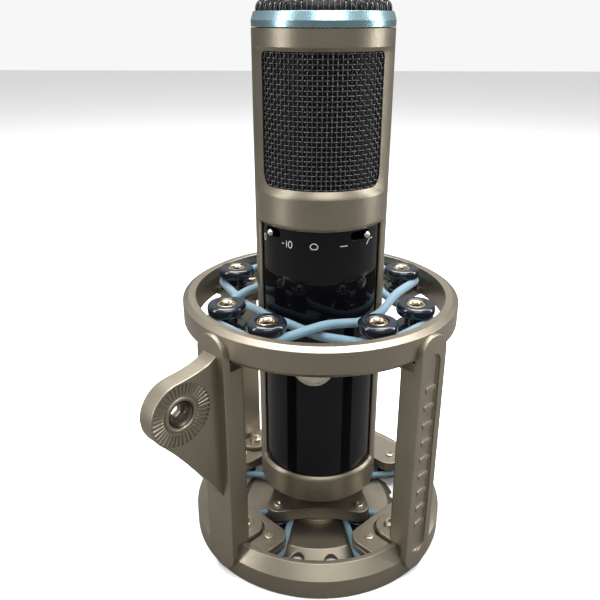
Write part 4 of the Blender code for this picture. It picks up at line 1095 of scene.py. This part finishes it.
# ------------------------------------------------------------------ the lower spools
# Twelve small spools under the lower lobes and under the cradle's corners, where the four short
# lower bands are strung.
small_profile = softened([
    (0, 0, 0), (6 * MM, 0, 0.35 * MM), (6 * MM, 0.8 * MM, 0.35 * MM), (4 * MM, 1.1 * MM, 0.3 * MM),
    (4 * MM, 3.9 * MM, 0.3 * MM), (6 * MM, 4.2 * MM, 0.35 * MM), (6 * MM, 5.0 * MM, 0.35 * MM),
                          (0, 5.0 * MM, 0)])
for label, degrees in LOBES.items():
    spots = [(f"corner_bobbin_{label}", 0, CORNER_PLACE, "cradle")]
    spots += [(f"lower_bobbin_{label}_{side}", sign * LOWER_SPREAD, LOWER_SPOOL_PLACE, "cage")
              for side, sign in (("a", -1), ("b", 1))]
    for name, turn, place, body in spots:
        spot = on_cylinder(lobe_turn(degrees + turn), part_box(name)[0].z, place)
        piece(name.replace("bobbin", "spool"), [polar_shell(small_profile, spot, samples=48)], RUBBER, body,
              [name])

# ------------------------------------------------------------------ the elastic bands
# Endless loops of pale blue elastic cord in a woven sleeve.  Two cross at the top, each from
# one pair of spools past the microphone to the opposite pair; four short ones hold the cradle.
# A loop follows the convex hull of the circles it is stretched round.
CORD_SPACING = 0.8 * MM
UPPER_CORD = 1.9 * MM
LOWER_CORD = 1.5 * MM
UPPER_WRAP = 6.4 * MM
LOWER_WRAP = 5.8 * MM
CROSSING_LIFT = 2.25 * MM
CROSSING_HALF = math.radians(29)
CROSSING_ROUND = 0.3


def stretched(circles, start, end, samples=2880):
    """Evenly spaced points, in plan, of a loop stretched round circles.

    For each outward azimuth from start to end it touches the circle that reaches furthest.
    """
    centres, radii = np.array([spot[:2] for spot, _ in circles]), np.array([radius for _, radius in circles])
    azimuth = np.linspace(start, end, samples)
    outward = np.stack([np.sin(azimuth), -np.cos(azimuth)], axis=-1)
    furthest = np.argmax(outward @ centres.T + radii, axis=1)
    touch = centres[furthest] + radii[furthest, None] * outward
    length = np.concatenate([[0], np.cumsum(np.linalg.norm(np.diff(touch, axis=0), axis=1))])
    even = np.linspace(0, length[-1], round(length[-1] / CORD_SPACING) + 1)
    return np.stack([np.interp(even, length, touch[:, k]) for k in (0, 1)], axis=-1)


def crossing_lift(path):
    """How far a strand rides off its level where two strands cross, midway between lobes.

    It falls away on both sides almost in a straight line, with a rounded top.
    """
    azimuth = np.arctan2(path[:, 0] - AXIS[0], AXIS[1] - path[:, 1]) - MOUNT_CLOCK
    off = np.abs((azimuth + math.pi / 4) % HALF - math.pi / 4)
    whole = math.hypot(1, CROSSING_ROUND)
    fall = whole - np.hypot(off / CROSSING_HALF, CROSSING_ROUND)
    return CROSSING_LIFT * np.clip(fall / (whole - CROSSING_ROUND), 0, None)


def cord_tube(path, radius, closed, sides=16):
    """A round cord along a path, with closed ends unless it is a loop."""
    if closed:
        tangent = unit(np.roll(path, -1, axis=0) - np.roll(path, 1, axis=0))
    else:
        tangent = unit(np.gradient(path, axis=0))
    side = unit(np.cross(tangent, (0, 0, 1)))
    top = np.cross(side, tangent)
    angle = TURN * np.arange(sides)[:, None] / sides
    around = path[:, None] + radius * (np.cos(angle) * side[:, None] + np.sin(angle) * top[:, None])
    if not closed:
        ends = [np.repeat(path[k][None, None], sides, axis=1) for k in (0, -1)]
        around = np.concatenate([ends[0], around, ends[1]])
    return around, closed, True


def braid_finish(name, dark, light, turns, pitch):
    """Woven cord sleeve: two sets of threads wind round the cord in opposite directions."""
    material = bpy.data.materials.new(name)
    material.use_nodes = True
    nodes, links = material.node_tree.nodes, material.node_tree.links
    shader = nodes["Principled BSDF"]
    shader.inputs["Roughness"].default_value = 0.62
    shader.inputs["Sheen Weight"].default_value = 0.35
    marks = nodes.new("ShaderNodeUVMap")
    marks.uv_map = "along"
    split = nodes.new("ShaderNodeSeparateXYZ")
    links.new(marks.outputs["UV"], split.inputs["Vector"])

    def sum_of(first, second, operation):
        node = nodes.new("ShaderNodeMath")
        node.operation = operation
        for socket, value in zip(node.inputs, (first, second)):
            if isinstance(value, bpy.types.NodeSocket):
                links.new(value, socket)
            elif value is not None:
                socket.default_value = value
        return node.outputs[0]

    round_the_cord = sum_of(split.outputs["X"], TURN * turns, "MULTIPLY")
    down_the_cord = sum_of(split.outputs["Y"], TURN / pitch, "MULTIPLY")
    threads = [sum_of(sum_of(round_the_cord, down_the_cord, way), None, "SINE")
               for way in ("ADD", "SUBTRACT")]
    height = sum_of(sum_of(threads[0], threads[1], "MULTIPLY"), 0.5, "MULTIPLY")
    share = sum_of(height, 0.5, "ADD")
    variation = add_variation(nodes, links, 90, 3500)
    worn = spread(nodes, links, variation.outputs["Patches"], 0.0, 0.45)
    colour = mixed(nodes, links, share, dark, light)
    links.new(mixed(nodes, links, worn, colour, light), shader.inputs["Base Color"])
    bump = nodes.new("ShaderNodeBump")
    bump.inputs["Distance"].default_value = 0.00012
    links.new(share, bump.inputs["Height"])
    links.new(bump.outputs["Normal"], shader.inputs["Normal"])
    return material


ELASTIC = braid_finish("blue_elastic_sleeve", (0.075, 0.150, 0.200), (0.150, 0.265, 0.330), 8, 1.6 * MM)
spool_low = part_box("upper_bobbin_front_left_a")[0]
groove = spool_low.z + 3.9 * MM
mic_circle = (on_axis(), HOUSING_RADIUS + 0.3 * MM + UPPER_CORD)
loops = {"upper_band_over": (("front_left", "back_right"), 1),
         "upper_band_under": (("front_right", "back_left"), -1)}
for name, (lobes, side) in loops.items():
    for label in lobes:
        middle = lobe_turn(LOBES[label])
        pair = [(on_cylinder(middle + sign * math.radians(UPPER_SPREAD), 0.0, UPPER_PLACE), UPPER_WRAP)
                for sign in (-1, 1)]
        plan = stretched([*pair, mic_circle], middle - HALF, middle + HALF)
        path = np.column_stack([plan, groove + side * crossing_lift(plan)])
        half_loop = piece(f"{name}_{label}", [cord_tube(path, UPPER_CORD, False)], ELASTIC, None,
                          [name],
                          smooth=60, spacing=CORD_SPACING, level=False)
        start, end = (on_cylinder(middle, groove, out) for out in (44 * MM, 9 * MM))
        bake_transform(half_loop)

lower_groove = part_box("corner_bobbin_front_left")[0].z + 2.5 * MM
for label, degrees in LOBES.items():
    middle = lobe_turn(degrees)
    circles = [(on_cylinder(middle, 0.0, CORNER_PLACE), LOWER_WRAP)]
    circles += [(on_cylinder(middle + sign * math.radians(LOWER_SPREAD), 0.0, LOWER_SPOOL_PLACE), LOWER_WRAP)
                for sign in (-1, 1)]
    plan = stretched(circles, middle, middle + TURN)[:-1]
    path = np.column_stack([plan, np.full(len(plan), lower_groove)])
    loop = piece(f"lower_elastic_{label}", [cord_tube(path, LOWER_CORD, True)], ELASTIC, None,
                 [f"lower_band_{label}"], smooth=60, spacing=CORD_SPACING, level=False)
    start, end = (on_cylinder(middle, lower_groove, out) for out in (41 * MM, 30 * MM))
    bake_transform(loop)

# ------------------------------------------------------------------ the cradle plate
# A thick cast plate with four round corners and hollow sides, in a darker bronze.  The
# microphone's neck goes down through its bore.
DARK_BRONZE = finish("dark_bronze_paint", ((0.150, 0.132, 0.102), (0.190, 0.168, 0.130)), 0.40, 0.85,
                     patch=50,
                     grain=3500, relief=0.00002, flake=0.2)
CORNER_RADIUS = 5.0 * MM
WAIST = 21.4 * MM
CORNER_SPAN = 62
HOLLOW_BOW = 2.6 * WAIST
HOLLOW_SPAN = 38 / 2.6
PLATE_SAMPLES = 288


def cradle_reach():
    """Distance from the axis to the plate's outline, for even steps of angle from the first spoke."""
    outline = []
    for corner in (0, 90, 180, 270):
        turn, side = math.radians(corner), math.radians(corner + 45)
        centre = CORNER_PLACE * np.array((math.cos(turn), math.sin(turn)))
        outline.append(arc(centre, CORNER_RADIUS, corner - CORNER_SPAN, corner + CORNER_SPAN, 16))
        hollow = (WAIST + HOLLOW_BOW) * np.array((math.cos(side), math.sin(side)))
        outline.append(arc(hollow, HOLLOW_BOW, corner + 225 + HOLLOW_SPAN, corner + 225 - HOLLOW_SPAN, 16))
    outline = np.concatenate(outline)
    angle = np.arctan2(outline[:, 1], outline[:, 0])
    order = np.argsort(angle)
    steps = TURN * np.arange(PLATE_SAMPLES) / PLATE_SAMPLES
    return np.interp(steps, angle[order], np.linalg.norm(outline, axis=1)[order], period=TURN)


def on_first_spoke(rows, samples):
    """Loops about the microphone's axis whose first sample lies on the front left spoke."""
    angle = TURN * np.arange(samples) / samples
    loops = [np.stack([radius * np.cos(angle), radius * np.sin(angle), height * np.ones(samples)], axis=-1)
             for radius, height in rows]
    return on_spoke(np.stack(loops), front_left), True, True


neck_bore = NECK_RADIUS + 0.3 * MM
reach = cradle_reach()
edge = 0.7 * MM
rows = [(neck_bore, cradle_low.z), (reach - 0.4 * MM, cradle_low.z), (reach, cradle_low.z + 0.4 * MM),
        (reach, cradle_high.z - edge), (reach - 0.3 * edge, cradle_high.z - 0.3 * edge),
        (reach - edge, cradle_high.z),
        (neck_bore + 0.5 * MM, cradle_high.z), (neck_bore, cradle_high.z - 0.5 * MM)]
piece("cast_cradle", [on_first_spoke(rows, PLATE_SAMPLES)], DARK_BRONZE, "cradle",
      ["cradle_plate"])

# ------------------------------------------------------------------ the lock nut
# A broad knurled nut that clamps the microphone to the cradle from below: a flat top, a
# chamfer down to its rim and sixteen round finger flutes cut in the chamfer.
nut_low, nut_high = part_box("lock_nut")
NUT_RADIUS = 40.5 * MM
NUT_TOP = 35.4 * MM
NUT_HUB = 18.0 * MM
NUT_FLANGE_TOP = 4.3 * MM
FLUTES = 16
FLUTE_RADIUS = 3.2 * MM
FLUTE_PHASE = math.radians(-1.6 + 11.25)
NUT_SAMPLES = 16 * 28


def fluted(radius):
    """The nut's edge where a circle of this radius is cut by the flutes' circles."""
    azimuth = front_left + TURN * np.arange(NUT_SAMPLES) / NUT_SAMPLES - FLUTE_PHASE
    pitch = TURN / FLUTES
    off = (azimuth + pitch / 2) % pitch - pitch / 2
    across = NUT_RADIUS * np.sin(off)
    hollow = NUT_RADIUS * np.cos(off) - np.sqrt(np.clip(FLUTE_RADIUS ** 2 - across ** 2, 0, None))
    return np.where(np.abs(across) < FLUTE_RADIUS, np.minimum(radius, hollow), radius)


share = np.linspace(0.08, 1, 9)
chamfer = [(fluted(NUT_RADIUS + (NUT_TOP - NUT_RADIUS) * s), nut_low.z + (NUT_FLANGE_TOP - nut_low.z) * s)
           for s in share]
rows = [(neck_bore, nut_low.z), (fluted(NUT_RADIUS - 0.4 * MM), nut_low.z), *chamfer,
        (NUT_TOP - 0.4 * MM, NUT_FLANGE_TOP), (NUT_HUB, NUT_FLANGE_TOP), (NUT_HUB, nut_high.z - 0.3 * MM),
        (NUT_HUB - 0.3 * MM, nut_high.z), (neck_bore, nut_high.z)]
piece("finger_nut", [on_first_spoke(rows, NUT_SAMPLES)], BRONZE, "lock_nut", ["lock_nut"])

# ------------------------------------------------------------------ what is inside
# The capsule on its saddle, the deck below it, the circuit board, the output transformer and
# the inner mesh keep their own shapes, and the clamp washer too.  Each gets its real finish.
CAPSULE_BRASS = finish("capsule_brass", ((0.60, 0.44, 0.20), (0.72, 0.55, 0.28)), 0.3, 1.0, patch=150,
                       grain=2500)
GOLD_FILM = finish("gold_film", ((0.85, 0.62, 0.28), (0.95, 0.74, 0.40)), 0.12, 1.0, patch=40, grain=600)
BOARD = finish("circuit_board", ((0.010, 0.075, 0.030), (0.018, 0.110, 0.045)), 0.4, patch=120, grain=900,
               coat=0.4)
CAN = finish("transformer_can", ((0.10, 0.10, 0.11), (0.16, 0.16, 0.17)), 0.38, 0.9, patch=90, grain=2000)
inside = {
    "inner_mesh": FINE_MESH, "capsule_body": CAPSULE_BRASS, "capsule_saddle": INSULATOR,
          "capsule_deck": INSULATOR,
    "front_diaphragm": GOLD_FILM, "rear_diaphragm": GOLD_FILM, "circuit_board": BOARD,
          "output_transformer": CAN,
    "clamp_washer": DARK_BRONZE,
}
for name, material in inside.items():
    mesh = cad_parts[name].data
    mesh.materials.clear()
    mesh.materials.append(material)
